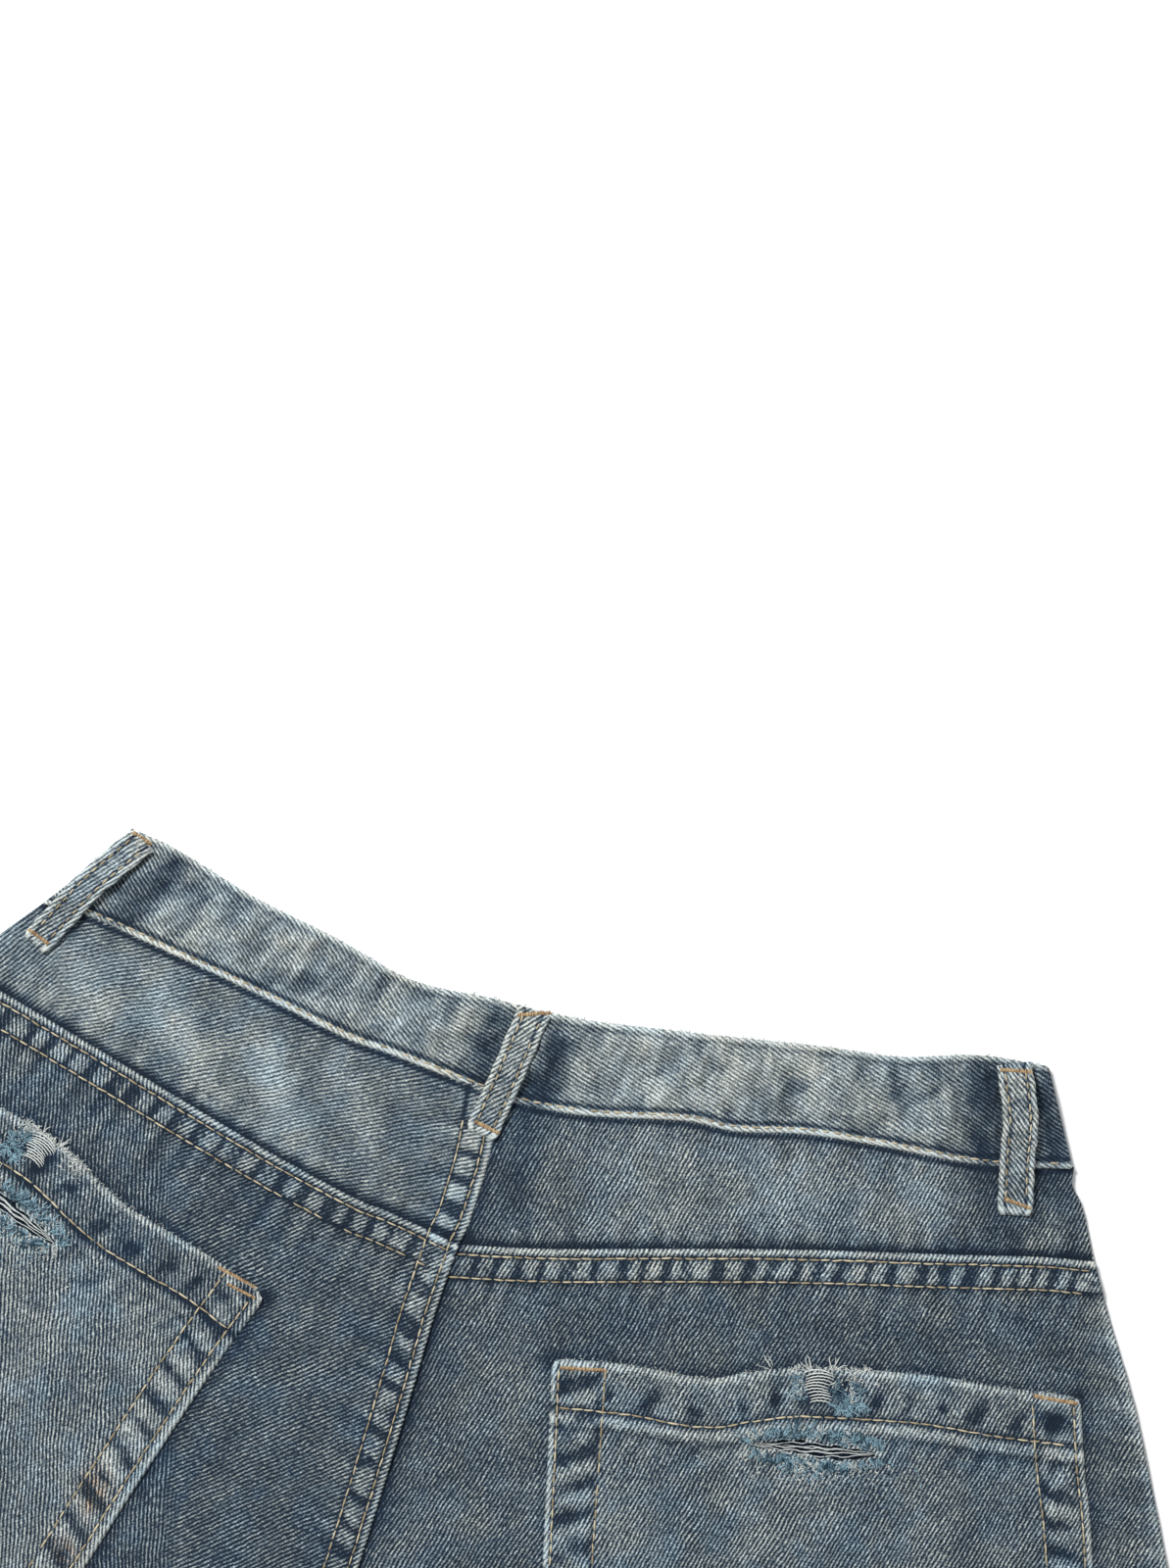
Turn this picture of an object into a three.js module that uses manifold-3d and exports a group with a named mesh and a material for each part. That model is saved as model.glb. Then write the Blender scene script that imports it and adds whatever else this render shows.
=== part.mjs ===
// Washed baggy jeans with ripped back pockets, lying flat with the back up.
// Millimetres, +Z up. The drawing's zero is the top of the centre-back seam; +X is the wearer's right,
// +Y points past the waist. The finished group is moved so that its origin is the middle of its base.
import * as THREE from 'three';
import { mergeVertices } from 'three/addons/utils/BufferGeometryUtils.js';
import Module from 'manifold-3d';

const wasm = await Module();
wasm.setup();

// ---- driving dimensions -------------------------------------------------------------------------

const CLOTH = 1.2; // thickness of the denim
const BAND = 2.4; // the waistband, folded double
const LAYER_GAP = 0.3; // between layers that rest on each other
const SEAM_RETREAT = 0.2; // each edge stands back this far from its seam line
const BAND_RETREAT = 2.5; // and the waistband this far, because its lower edge is slanted at the sides
const POCKET_GAP = 0.6; // under a patch pocket
const SIDE_LIFT = 2.6; // how far the back rises from the side seams, over the front
const SIDE_REACH = 14; // over about this distance
const FRONT_LIFT = 2.3; // the front stands off the floor here, over its button and loops
const BACK_LIFT = 1.9; // extra height of the back under the waistband
const LAP_LIFT = 2.7; // room for the lapped end of the waistband
const FOLD_TAPER = 70; // the waistband flattens over this length towards its side folds
const LOOP_WIDTH = 13.5;
const LOOP_THICK = 1.8;
const LOOP_RISE = 2.2; // how far a loop bows off the waistband
const LOOP_BELOW = 0.35; // a front loop ends this share of the band's height under its lower edge
const BUTTON_RADIUS = 8.5;
const BUTTON_THICK = 2;
const RIP_LENGTH = 46;
const RIP_WIDTH = 7;

const ACROSS = 14; // columns in each half of the back
const FRONT_ACROSS = 10;
const SEAT_ROWS = 9; // rows from the yoke seam to the crotch
const LEG_ROWS = 16; // rows from the crotch to the hem
const RISE_ROWS = 8; // rows of the front from waistband to crotch
const FOLD_STEPS = 6; // facets round each side fold of the waistband
const BAND_FRONT_STEPS = 10; // sections in each front half of the waistband
const SIDE_SHARE = 0.05; // the front's first section, as a share of the way from fold to fold
const UPPER_LAP = 0.05; // how far the left end of the waistband passes centre front, likewise
const UNDER_LAP = 0.06; // and the right end

// ---- the lines of the garment, as laid ----------------------------------------------------------

const CENTRE_TOP = [0, 0.5];
const CENTRE_LOW = [-11, -34.5]; // centre back, lower edge of the waistband
const CENTRE_YOKE = [-26.5, -89]; // centre back, yoke seam
const CROTCH = [-104, -331];
const CENTRE_FRONT = [32, -65]; // centre front, lower edge of the waistband

const bandTopLeft = curve([
  [-149, 67.5], [-133, 60], [-104, 42.5], [-74, 27.5], [-44, 11], [-15, 4.5], CENTRE_TOP,
]);
const bandTopRight = curve([
  CENTRE_TOP, [22, -4], [59, -8.5], [111, -14], [141, -18], [170, -17.5], [197, -22],
]);
const bandLowLeft = curve([
  [-186, 39], [-170, 35], [-136, 20], [-100, 3], [-70, -12], [-52, -18.5], [-18, -32], CENTRE_LOW,
]);
const bandLowRight = curve([
  CENTRE_LOW, [-4, -37], [22, -41.5], [59, -43.5], [78, -47.5], [104, -48.5], [133, -53], [172, -60.5],
  [206.5, -62],
]);
const frontTop = curve([[-149, 67.5], [-95, 22], [-20, -18], [35, -30], [112, -34], [197, -22]]);
const frontLow = curve([[-186, 39], [-115, -10], [-38, -51], CENTRE_FRONT, [112, -69], [206.5, -62]]);
const yokeSeamLeft = curve([
  [-217, 16], [-200, 6.5], [-140, -29], [-97, -54.5], [-66.5, -71], [-52, -77], CENTRE_YOKE,
]);
const yokeSeamRight = curve([
  CENTRE_YOKE, [7, -90.5], [59, -90.5], [111, -91], [166, -93], [193, -94], [214.5, -96],
]);
const centreBackYoke = curve([CENTRE_LOW, [-15, -56], [-22, -79], CENTRE_YOKE]);
const centreBackSeat = curve([
  CENTRE_YOKE, [-35.5, -115], [-44, -144], [-53, -174], [-64.5, -211], [-84, -270], CROTCH,
]);
const centreFront = curve([CENTRE_FRONT, [-8, -160], [-62, -266], CROTCH]);
const sideYokeLeft = curve([[-186, 39], [-200, 29], [-217, 16]]);
const sideYokeRight = curve([[206.5, -62], [206, -67], [210, -76], [214.5, -96]]);
const sideLeft = curve([
  [-217, 16], [-250, -13], [-295, -57], [-337, -110], [-372, -166], [-425, -262], [-520, -430],
  [-630, -610], [-726, -765],
]);
const sideRight = curve([
  [214.5, -96], [220, -117], [229.5, -150], [236.5, -183], [241, -206], [249, -255], [257, -331],
  [255, -450], [236, -640], [205, -860], [181, -1027],
]);
const inseamLeft = curve([CROTCH, [-175, -446], [-300, -614], [-405, -757], [-512, -903]]);
const inseamRight = curve([CROTCH, [-101, -450], [-92, -650], [-82, -850], [-73, -1035]]);
const hemLeft = curve([[-726, -765], [-620, -837], [-512, -903]]);
const hemRight = curve([[-73, -1035], [55, -1036], [181, -1027]]);

const pocketRight = {
  top: curve([
    [8.5, -132], [37, -134.5], [66.5, -139.5], [82, -137.5], [104, -135.5], [148, -138], [178, -143],
    [209, -147],
  ]),
  bottom: chain(curve([[2, -298], [104, -337]]), curve([[104, -337], [214, -302]])),
  left: curve([[8.5, -132], [7, -167], [5, -211], [2, -298]]),
  right: curve([[209, -147], [210.5, -174], [213.5, -211], [214, -302]]),
};
const pocketLeft = {
  top: curve([
    [-242, -19], [-200, -37.5], [-178, -51], [-155.5, -72], [-141, -81.5], [-118.5, -95], [-99.5, -109],
  ]),
  bottom: chain(curve([[-344, -156], [-290, -240]]), curve([[-290, -240], [-196, -254]])),
  left: curve([[-242, -19], [-300, -92], [-344, -156]]),
  right: curve([[-99.5, -109], [-118.5, -135], [-148, -179.5], [-168, -211], [-196, -254]]),
};

// Soft folds in the cloth: each is a ridge along a line, with its height and half width.
const FOLDS = [
  { from: [-190, 20], to: [-120, -36], height: 0.8, width: 13 },
  { from: [-96, 6], to: [-70, -60], height: 0.8, width: 13 },
  { from: [-52, -22], to: [-40, -76], height: -0.7, width: 11 },
  { from: [-340, -330], to: [-230, -420], height: 1, width: 26 },
  { from: [-470, -470], to: [-350, -560], height: 0.9, width: 26 },
  { from: [-560, -640], to: [-450, -690], height: 1, width: 24 },
  { from: [-60, -400], to: [120, -470], height: 1, width: 28 },
  { from: [200, -560], to: [30, -650], height: 0.9, width: 26 },
  { from: [-40, -780], to: [120, -830], height: 1, width: 24 },
];

// ---- heights ------------------------------------------------------------------------------------

const outlines = [sideYokeLeft, sideYokeRight, sideLeft, sideRight, inseamLeft, inseamRight]
  .map((line) => sampled(line));
const bandLow = sampled(chain(bandLowLeft, bandLowRight));

/** How far the middle of the waistband has risen from its side folds: 0 to 1. */
function plateau(x) {
  const fromLeft = THREE.MathUtils.smoothstep(x, -186, -186 + FOLD_TAPER);
  const fromRight = 1 - THREE.MathUtils.smoothstep(x, 206 - FOLD_TAPER, 206);
  return fromLeft * fromRight;
}

/** The front's underside. It lies on the floor, but for the lift under the waistband. */
function frontBottom(p) {
  const past = Math.max(0, distanceTo(p, bandLow) - 50);
  return FRONT_LIFT * plateau(p.x) * Math.exp(-((past / 40) ** 2));
}

/** The upper face of the back. */
function backTop(p) {
  const inside = 1 - Math.exp(-Math.min(...outlines.map((line) => distanceTo(p, line))) / SIDE_REACH);
  const nearBand = Math.exp(-((distanceTo(p, bandLow) / 70) ** 2));
  const rest = CLOTH + LAYER_GAP + CLOTH + frontBottom(p);
  return rest + inside * (SIDE_LIFT + foldHeight(p)) + BACK_LIFT * plateau(p.x) * nearBand;
}

function foldHeight(p) {
  let sum = 0;
  for (const fold of FOLDS) {
    const ends = [new THREE.Vector2(...fold.from), new THREE.Vector2(...fold.to)];
    sum += fold.height * Math.exp(-((distanceTo(p, ends) / fold.width) ** 2));
  }
  return sum;
}

/** Middle of the waistband's thickness, in front and behind. */
function bandFrontMiddle(x) {
  return FRONT_LIFT * plateau(x) + BAND / 2;
}

function bandBackMiddle(x) {
  return bandFrontMiddle(x) + BAND + LAYER_GAP + LAP_LIFT * plateau(x);
}

// ---- curves and distances -----------------------------------------------------------------------

function curve(points) {
  const vectors = points.map(([x, y]) => new THREE.Vector3(x, y, 0));
  return new THREE.CatmullRomCurve3(vectors, false, 'catmullrom', 0.5);
}

/** Two curves end to end, read by their length like one. */
function chain(first, second) {
  const share = first.getLength() / (first.getLength() + second.getLength());
  return {
    share,
    getPointAt: (t) =>
      t < share ? first.getPointAt(t / share) : second.getPointAt((t - share) / (1 - share)),
  };
}

function sampled(line, count = 30) {
  return Array.from({ length: count + 1 }, (_, i) => flat(line.getPointAt(i / count)));
}

function flat(p) {
  return new THREE.Vector2(p.x, p.y);
}

function distanceTo(p, points) {
  let nearest = Infinity;
  for (let i = 1; i < points.length; i++) {
    const [a, b] = [points[i - 1], points[i]];
    const along = new THREE.Vector2().subVectors(b, a);
    const from = new THREE.Vector2(p.x - a.x, p.y - a.y);
    const t = THREE.MathUtils.clamp(from.dot(along) / along.lengthSq(), 0, 1);
    nearest = Math.min(nearest, Math.hypot(p.x - a.x - t * along.x, p.y - a.y - t * along.y));
  }
  return nearest;
}

function evenly(count) {
  return Array.from({ length: count + 1 }, (_, i) => i / count);
}

/** Even steps before and after the join of a chained curve, so that a row falls on the join. */
function stations(line, before, after) {
  const first = evenly(before).map((t) => t * line.share);
  const second = evenly(after).map((t) => line.share + t * (1 - line.share));
  return [...first, ...second.slice(1)];
}

// ---- cloth walls --------------------------------------------------------------------------------

/** Fills four edge curves with a grid of points, in rows from the top edge to the bottom edge. */
function fill({ top, bottom, left, right }, us, vs) {
  const at = (line, t) => flat(line.getPointAt(t));
  const corner = { tl: at(top, 0), tr: at(top, 1), bl: at(bottom, 0), br: at(bottom, 1) };
  return vs.map((v) => us.map((u) => {
    const p = new THREE.Vector2();
    p.addScaledVector(at(top, u), 1 - v).addScaledVector(at(bottom, u), v);
    p.addScaledVector(at(left, v), 1 - u).addScaledVector(at(right, v), u);
    p.addScaledVector(corner.tl, -(1 - u) * (1 - v)).addScaledVector(corner.tr, -u * (1 - v));
    return p.addScaledVector(corner.bl, -(1 - u) * v).addScaledVector(corner.br, -u * v);
  }));
}

/** Draws the grid's border back from its seam lines. */
function retreat(grid) {
  const [m, n] = [grid.length - 1, grid[0].length - 1];
  const moved = grid.map((row) => row.map((p) => p.clone()));
  const pull = (i, j, towards) => {
    const step = new THREE.Vector2().subVectors(towards, grid[i][j]).setLength(SEAM_RETREAT);
    moved[i][j].add(step);
  };
  for (let i = 0; i <= m; i++) {
    pull(i, 0, grid[i][1]);
    pull(i, n, grid[i][n - 1]);
  }
  for (let j = 0; j <= n; j++) {
    pull(0, j, grid[1][j]);
    pull(m, j, grid[m - 1][j]);
  }
  return moved;
}

/** A closed wall between two faces, each given as rows of points. */
function wall(upper, lower) {
  const rows = upper.length;
  const columns = upper[0].length;
  const positions = [...upper.flat(), ...lower.flat()].flatMap((p) => [p.x, p.y, p.z]);
  const up = (i, j) => i * columns + j;
  const down = (i, j) => rows * columns + i * columns + j;
  const index = [];
  const quad = (a, b, c, d) => index.push(a, b, c, a, c, d);
  for (let i = 0; i + 1 < rows; i++) {
    for (let j = 0; j + 1 < columns; j++) {
      quad(up(i, j), up(i + 1, j), up(i + 1, j + 1), up(i, j + 1));
      quad(down(i, j), down(i, j + 1), down(i + 1, j + 1), down(i + 1, j));
    }
  }
  for (let i = 0; i + 1 < rows; i++) {
    quad(up(i, 0), down(i, 0), down(i + 1, 0), up(i + 1, 0));
    quad(up(i + 1, columns - 1), down(i + 1, columns - 1), down(i, columns - 1), up(i, columns - 1));
  }
  for (let j = 0; j + 1 < columns; j++) {
    quad(up(0, j + 1), down(0, j + 1), down(0, j), up(0, j));
    quad(up(rows - 1, j), down(rows - 1, j), down(rows - 1, j + 1), up(rows - 1, j + 1));
  }
  const geometry = new THREE.BufferGeometry();
  geometry.setAttribute('position', new THREE.Float32BufferAttribute(positions, 3));
  geometry.setIndex(index);
  return outward(geometry);
}

/** Turns every face over where the wall came out inside out. */
function outward(geometry) {
  const p = geometry.getAttribute('position');
  const index = geometry.getIndex().array;
  const [a, b, c] = [new THREE.Vector3(), new THREE.Vector3(), new THREE.Vector3()];
  let volume = 0;
  for (let k = 0; k < index.length; k += 3) {
    a.fromBufferAttribute(p, index[k]);
    b.fromBufferAttribute(p, index[k + 1]);
    c.fromBufferAttribute(p, index[k + 2]);
    volume += a.dot(b.cross(c));
  }
  if (volume < 0) {
    for (let k = 0; k < index.length; k += 3) {
      [index[k], index[k + 1]] = [index[k + 1], index[k]];
    }
  }
  geometry.computeVertexNormals();
  return geometry;
}

/** A level piece of cloth whose upper face is at topAt(point). */
function sheet(grid, topAt, thickness = CLOTH) {
  const upper = grid.map((row) => row.map((p) => new THREE.Vector3(p.x, p.y, topAt(p))));
  const lower = upper.map((row) => row.map((p) => new THREE.Vector3(p.x, p.y, p.z - thickness)));
  return wall(upper, lower);
}

// ---- back and front -----------------------------------------------------------------------------

function backYoke(edges) {
  return sheet(retreat(fill(edges, evenly(ACROSS), evenly(4))), backTop);
}

function backPanel(edges, centreLine) {
  const rows = stations(centreLine, SEAT_ROWS, LEG_ROWS);
  return sheet(retreat(fill(edges, evenly(ACROSS), rows)), backTop);
}

function frontPanel(edges, centreLine) {
  const rows = stations(centreLine, RISE_ROWS, LEG_ROWS);
  const grid = retreat(fill(edges, evenly(FRONT_ACROSS), rows));
  return sheet(grid, (p) => frontBottom(p) + CLOTH);
}

/** Part of a curve, from one share of its length to another. */
function part(line, from, to) {
  return { getPointAt: (t) => line.getPointAt(from + t * (to - from)) };
}

/** The share of frontLow's length at which the centre front comes. */
function centreFrontShare() {
  const steps = 400;
  let best = 0;
  for (let i = 0; i <= steps; i++) {
    const gap = flat(frontLow.getPointAt(i / steps)).distanceTo(new THREE.Vector2(...CENTRE_FRONT));
    const bestGap = flat(frontLow.getPointAt(best)).distanceTo(new THREE.Vector2(...CENTRE_FRONT));
    if (gap < bestGap) best = i / steps;
  }
  return best;
}

const FRONT_SHARE = centreFrontShare();

const backEdgeLeft = chain(centreBackSeat, inseamLeft);
const backEdgeRight = chain(centreBackSeat, inseamRight);
const frontEdgeLeft = chain(centreFront, inseamLeft);
const frontEdgeRight = chain(centreFront, inseamRight);

// ---- pockets ------------------------------------------------------------------------------------

function pocket(edges, rip) {
  const grid = fill(edges, evenly(12), evenly(8));
  const geometry = sheet(grid, (p) => backTop(p) + POCKET_GAP + CLOTH);
  return cut(geometry, ripCutter(rip));
}

/** A slit through the cloth, pointed at both ends. */
function ripCutter({ at, turn }) {
  const half = RIP_LENGTH / 2;
  const outline = new THREE.Shape();
  outline.moveTo(-half, 0);
  outline.quadraticCurveTo(0, -RIP_WIDTH, half, 0);
  outline.quadraticCurveTo(0, RIP_WIDTH, -half, 0);
  const depth = 40;
  const geometry = new THREE.ExtrudeGeometry(outline, { depth, bevelEnabled: false, curveSegments: 10 });
  geometry.rotateZ(THREE.MathUtils.degToRad(turn));
  geometry.translate(at[0], at[1], -depth / 2);
  return geometry;
}

function toManifold(geometry) {
  const bare = geometry.clone();
  bare.deleteAttribute('normal');
  bare.deleteAttribute('uv');
  const merged = mergeVertices(bare, 1e-4);
  return new wasm.Manifold(new wasm.Mesh({
    numProp: 3,
    vertProperties: Float32Array.from(merged.getAttribute('position').array),
    triVerts: Uint32Array.from(merged.getIndex().array),
  }));
}

function cut(geometry, tool) {
  const mesh = toManifold(geometry).subtract(toManifold(tool)).getMesh();
  const result = new THREE.BufferGeometry();
  result.setAttribute('position', new THREE.Float32BufferAttribute(mesh.vertProperties, 3));
  result.setIndex(Array.from(mesh.triVerts));
  result.computeVertexNormals();
  return result;
}

// ---- waistband ----------------------------------------------------------------------------------

/** One strip round the waist: its sections run from the front's upper lap to its under lap. */
function waistband() {
  const sections = [];
  const inset = BAND + LAYER_GAP / 2; // a side fold's centre, inside the outline
  const add = (low, top, z, outside, angle) => sections.push({ low, top, z, outside, angle });
  const level = new THREE.Vector2(1, 0);

  const front = (t, raised) => {
    const low = flat(frontLow.getPointAt(t));
    add(low, flat(frontTop.getPointAt(t)), bandFrontMiddle(low.x) + raised, level, -Math.PI / 2);
  };
  const back = (lowLine, topLine, t) => {
    const low = flat(lowLine.getPointAt(t));
    add(low, flat(topLine.getPointAt(t)), bandBackMiddle(low.x), level, Math.PI / 2);
  };
  const endOf = (line, atEnd) => {
    const share = inset / line.getLength();
    return {
      centre: flat(line.getPointAt(atEnd ? 1 - share : share)),
      corner: flat(line.getPointAt(atEnd ? 1 : 0)),
    };
  };
  const sideFold = (lowLine, topLine, atEnd, rising) => {
    const low = endOf(lowLine, atEnd);
    const top = endOf(topLine, atEnd);
    const radius = (BAND + LAYER_GAP) / 2;
    const middle = BAND / 2 + radius;
    for (let k = 0; k <= FOLD_STEPS; k++) {
      const angle = (rising ? -1 : 1) * (Math.PI / 2 - (Math.PI * k) / FOLD_STEPS);
      const out = (radius * Math.cos(angle)) / inset;
      const outwardDirection = new THREE.Vector2().subVectors(low.corner, low.centre).normalize();
      add(
        low.centre.clone().lerp(low.corner, out),
        top.centre.clone().lerp(top.corner, out),
        middle + radius * Math.sin(angle), outwardDirection, angle,
      );
    }
  };

  // Wearer's left front, from its end past the centre to the left side fold.
  const leftLap = FRONT_SHARE + UPPER_LAP;
  for (const k of evenly(BAND_FRONT_STEPS)) front(THREE.MathUtils.lerp(leftLap, SIDE_SHARE, k), 0);
  sideFold(bandLowLeft, bandTopLeft, false, true);
  for (let i = 1; i <= ACROSS; i++) back(bandLowLeft, bandTopLeft, i / ACROSS);
  for (let i = 1; i < ACROSS; i++) back(bandLowRight, bandTopRight, i / ACROSS);
  sideFold(bandLowRight, bandTopRight, true, false);
  // Wearer's right front, back to the centre, where it lies over the first end.
  for (const k of evenly(BAND_FRONT_STEPS)) {
    const t = THREE.MathUtils.lerp(1 - SIDE_SHARE, FRONT_SHARE - UNDER_LAP, k);
    const over = 1 - THREE.MathUtils.smoothstep(t, leftLap + 0.02, leftLap + 0.12);
    front(t, over * (BAND + LAYER_GAP));
  }

  const offset = (s, p, sign) => {
    const side = sign * (BAND / 2) * Math.cos(s.angle);
    return new THREE.Vector3(
      p.x + side * s.outside.x, p.y + side * s.outside.y, s.z + sign * (BAND / 2) * Math.sin(s.angle),
    );
  };
  const face = (sign) => sections.map((s) => {
    const drawn = BAND_RETREAT / s.low.distanceTo(s.top);
    return [drawn, 0.5, 1].map((t) => offset(s, s.low.clone().lerp(s.top, t), sign));
  });
  return wall(face(1), face(-1));
}

// ---- belt loops and button ----------------------------------------------------------------------

/** A belt loop along a line from the waistband's top edge, bowed between its two tacked ends. */
function beltLoop(points, startZ, endZ, rise = LOOP_RISE) {
  const line = curve(points);
  const faces = { upper: [], lower: [] };
  for (const t of evenly(12)) {
    const p = line.getPointAt(t);
    const tangent = line.getTangentAt(t);
    const side = new THREE.Vector3(-tangent.y, tangent.x, 0).multiplyScalar(LOOP_WIDTH / 2);
    const z = THREE.MathUtils.lerp(startZ, endZ, t) + rise * Math.sin(Math.PI * t) ** 0.7;
    const row = [p.clone().add(side), p.clone().sub(side)];
    faces.upper.push(row.map((q) => new THREE.Vector3(q.x, q.y, z + LOOP_THICK)));
    faces.lower.push(row.map((q) => new THREE.Vector3(q.x, q.y, z)));
  }
  return wall(faces.upper, faces.lower);
}

/** Just above the waistband's back, where its lower edge is at x. */
function overBand(x) {
  return bandBackMiddle(x) + BAND / 2 + LAYER_GAP;
}

/** A front loop lies flat between the floor and the waistband. */
function frontLoop(share) {
  const top = flat(frontTop.getPointAt(share));
  const low = flat(frontLow.getPointAt(share));
  const end = low.clone().lerp(top, -LOOP_BELOW);
  return beltLoop([[top.x, top.y], [low.x, low.y], [end.x, end.y]], 0, 0, 0);
}

/** A tack button under the lapped ends, its domed face down. */
function button() {
  const profile = [
    [0, 0], [BUTTON_RADIUS - 2, 0], [BUTTON_RADIUS - 0.5, 0.5], [BUTTON_RADIUS, 1.2],
    [BUTTON_RADIUS - 0.6, BUTTON_THICK], [0, BUTTON_THICK],
  ].map(([r, z]) => new THREE.Vector2(r, z));
  const geometry = new THREE.LatheGeometry(profile, 20);
  geometry.rotateX(Math.PI / 2);
  const low = flat(frontLow.getPointAt(FRONT_SHARE));
  const middle = low.lerp(flat(frontTop.getPointAt(FRONT_SHARE)), 0.5);
  geometry.translate(middle.x, middle.y, 0);
  return geometry;
}

// ---- the scene ----------------------------------------------------------------------------------

const garment = new THREE.Group();

function piece(name, geometry, color, roughness = 0.95, metalness = 0) {
  const mesh = new THREE.Mesh(geometry, new THREE.MeshStandardMaterial({ color, roughness, metalness }));
  mesh.name = name;
  garment.add(mesh);
}

piece('waistband', waistband(), 0x8b9497);
piece('back_yoke_left', backYoke({
  top: bandLowLeft, bottom: yokeSeamLeft, left: sideYokeLeft, right: centreBackYoke,
}), 0x6c7a82);
piece('back_yoke_right', backYoke({
  top: bandLowRight, bottom: yokeSeamRight, left: centreBackYoke, right: sideYokeRight,
}), 0x6c7a82);
piece('back_panel_left', backPanel({
  top: yokeSeamLeft, bottom: hemLeft, left: sideLeft, right: backEdgeLeft,
}, backEdgeLeft), 0x56636b);
piece('back_panel_right', backPanel({
  top: yokeSeamRight, bottom: hemRight, left: backEdgeRight, right: sideRight,
}, backEdgeRight), 0x56636b);

const wholeSideLeft = chain(sideYokeLeft, sideLeft);
const wholeSideRight = chain(sideYokeRight, sideRight);
piece('front_panel_left', frontPanel({
  top: part(frontLow, 0, FRONT_SHARE), bottom: hemLeft, left: wholeSideLeft, right: frontEdgeLeft,
}, frontEdgeLeft), 0x56636b);
piece('front_panel_right', frontPanel({
  top: part(frontLow, FRONT_SHARE, 1), bottom: hemRight, left: frontEdgeRight, right: wholeSideRight,
}, frontEdgeRight), 0x56636b);

piece('back_pocket_left', pocket(pocketLeft, { at: [-203, -71], turn: -39 }), 0x66727a);
piece('back_pocket_right', pocket(pocketRight, { at: [108, -166.5], turn: -4 }), 0x66727a);

piece('belt_loop_centre_back', beltLoop(
  [[2, -0.5], [-8, -24], [-18.5, -47.5]], overBand(-8), overBand(-14),
), 0x80868a);
piece('belt_loop_back_left', beltLoop(
  [[-145.9, 64], [-161, 54], [-173.3, 40.7], [-184.5, 29.5]], overBand(-160), overBand(-174),
), 0x80868a);
piece('belt_loop_back_right', beltLoop(
  [[183.3, -20.5], [185.6, -40.7], [184.5, -56], [183.7, -78]], overBand(172), overBand(182),
), 0x80868a);
piece('belt_loop_front_left', frontLoop(0.24), 0x80868a);
piece('belt_loop_front_right', frontLoop(0.78), 0x80868a);
piece('waist_button', button(), 0x9a7b4f, 0.4, 1);

// The origin becomes the middle of the base.
const box = new THREE.Box3().setFromObject(garment);
garment.position.set(-(box.min.x + box.max.x) / 2, -(box.min.y + box.max.y) / 2, -box.min.z);
garment.updateMatrixWorld(true);

export default garment;
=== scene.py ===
# %% [markdown]
# # Ripped jeans, laid flat with the back up
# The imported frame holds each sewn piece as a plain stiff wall. This script puts real-looking denim in its
# place: cloth grids with rolled edges, puckered felled seams and frays, thread that is modelled stitch by
# stitch, and one washed-twill shader. Everything is worked out in millimetres on a drawing whose zero is
# near the top of the centre back, and is moved into the frame's metres as each mesh is made.

# %% Load the frame
import math

import bpy
import numpy as np
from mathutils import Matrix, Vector
from mathutils.bvhtree import BVHTree


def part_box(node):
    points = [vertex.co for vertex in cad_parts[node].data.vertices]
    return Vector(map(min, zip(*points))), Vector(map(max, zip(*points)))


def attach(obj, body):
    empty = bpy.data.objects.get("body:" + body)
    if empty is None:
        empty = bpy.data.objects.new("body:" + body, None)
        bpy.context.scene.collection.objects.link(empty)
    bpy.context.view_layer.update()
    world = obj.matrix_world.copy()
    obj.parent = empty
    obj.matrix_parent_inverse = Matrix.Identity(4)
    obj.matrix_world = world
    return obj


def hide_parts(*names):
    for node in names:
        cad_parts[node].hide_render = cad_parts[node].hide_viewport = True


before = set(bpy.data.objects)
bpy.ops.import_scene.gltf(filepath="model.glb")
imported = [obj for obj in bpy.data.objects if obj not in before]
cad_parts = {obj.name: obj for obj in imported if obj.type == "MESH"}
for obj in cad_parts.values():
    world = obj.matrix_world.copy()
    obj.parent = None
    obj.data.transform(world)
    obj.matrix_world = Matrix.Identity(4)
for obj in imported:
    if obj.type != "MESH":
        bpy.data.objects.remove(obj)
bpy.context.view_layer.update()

# %% [markdown]
# A seam or an edge of a garment is a smooth line through a few points. Blender's curve objects could hold
# them, but cloth has to ask where a share of the seam's length falls, and how far a point is from it, so a
# small class that samples a Catmull-Rom line by its length is the handier tool.

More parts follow.
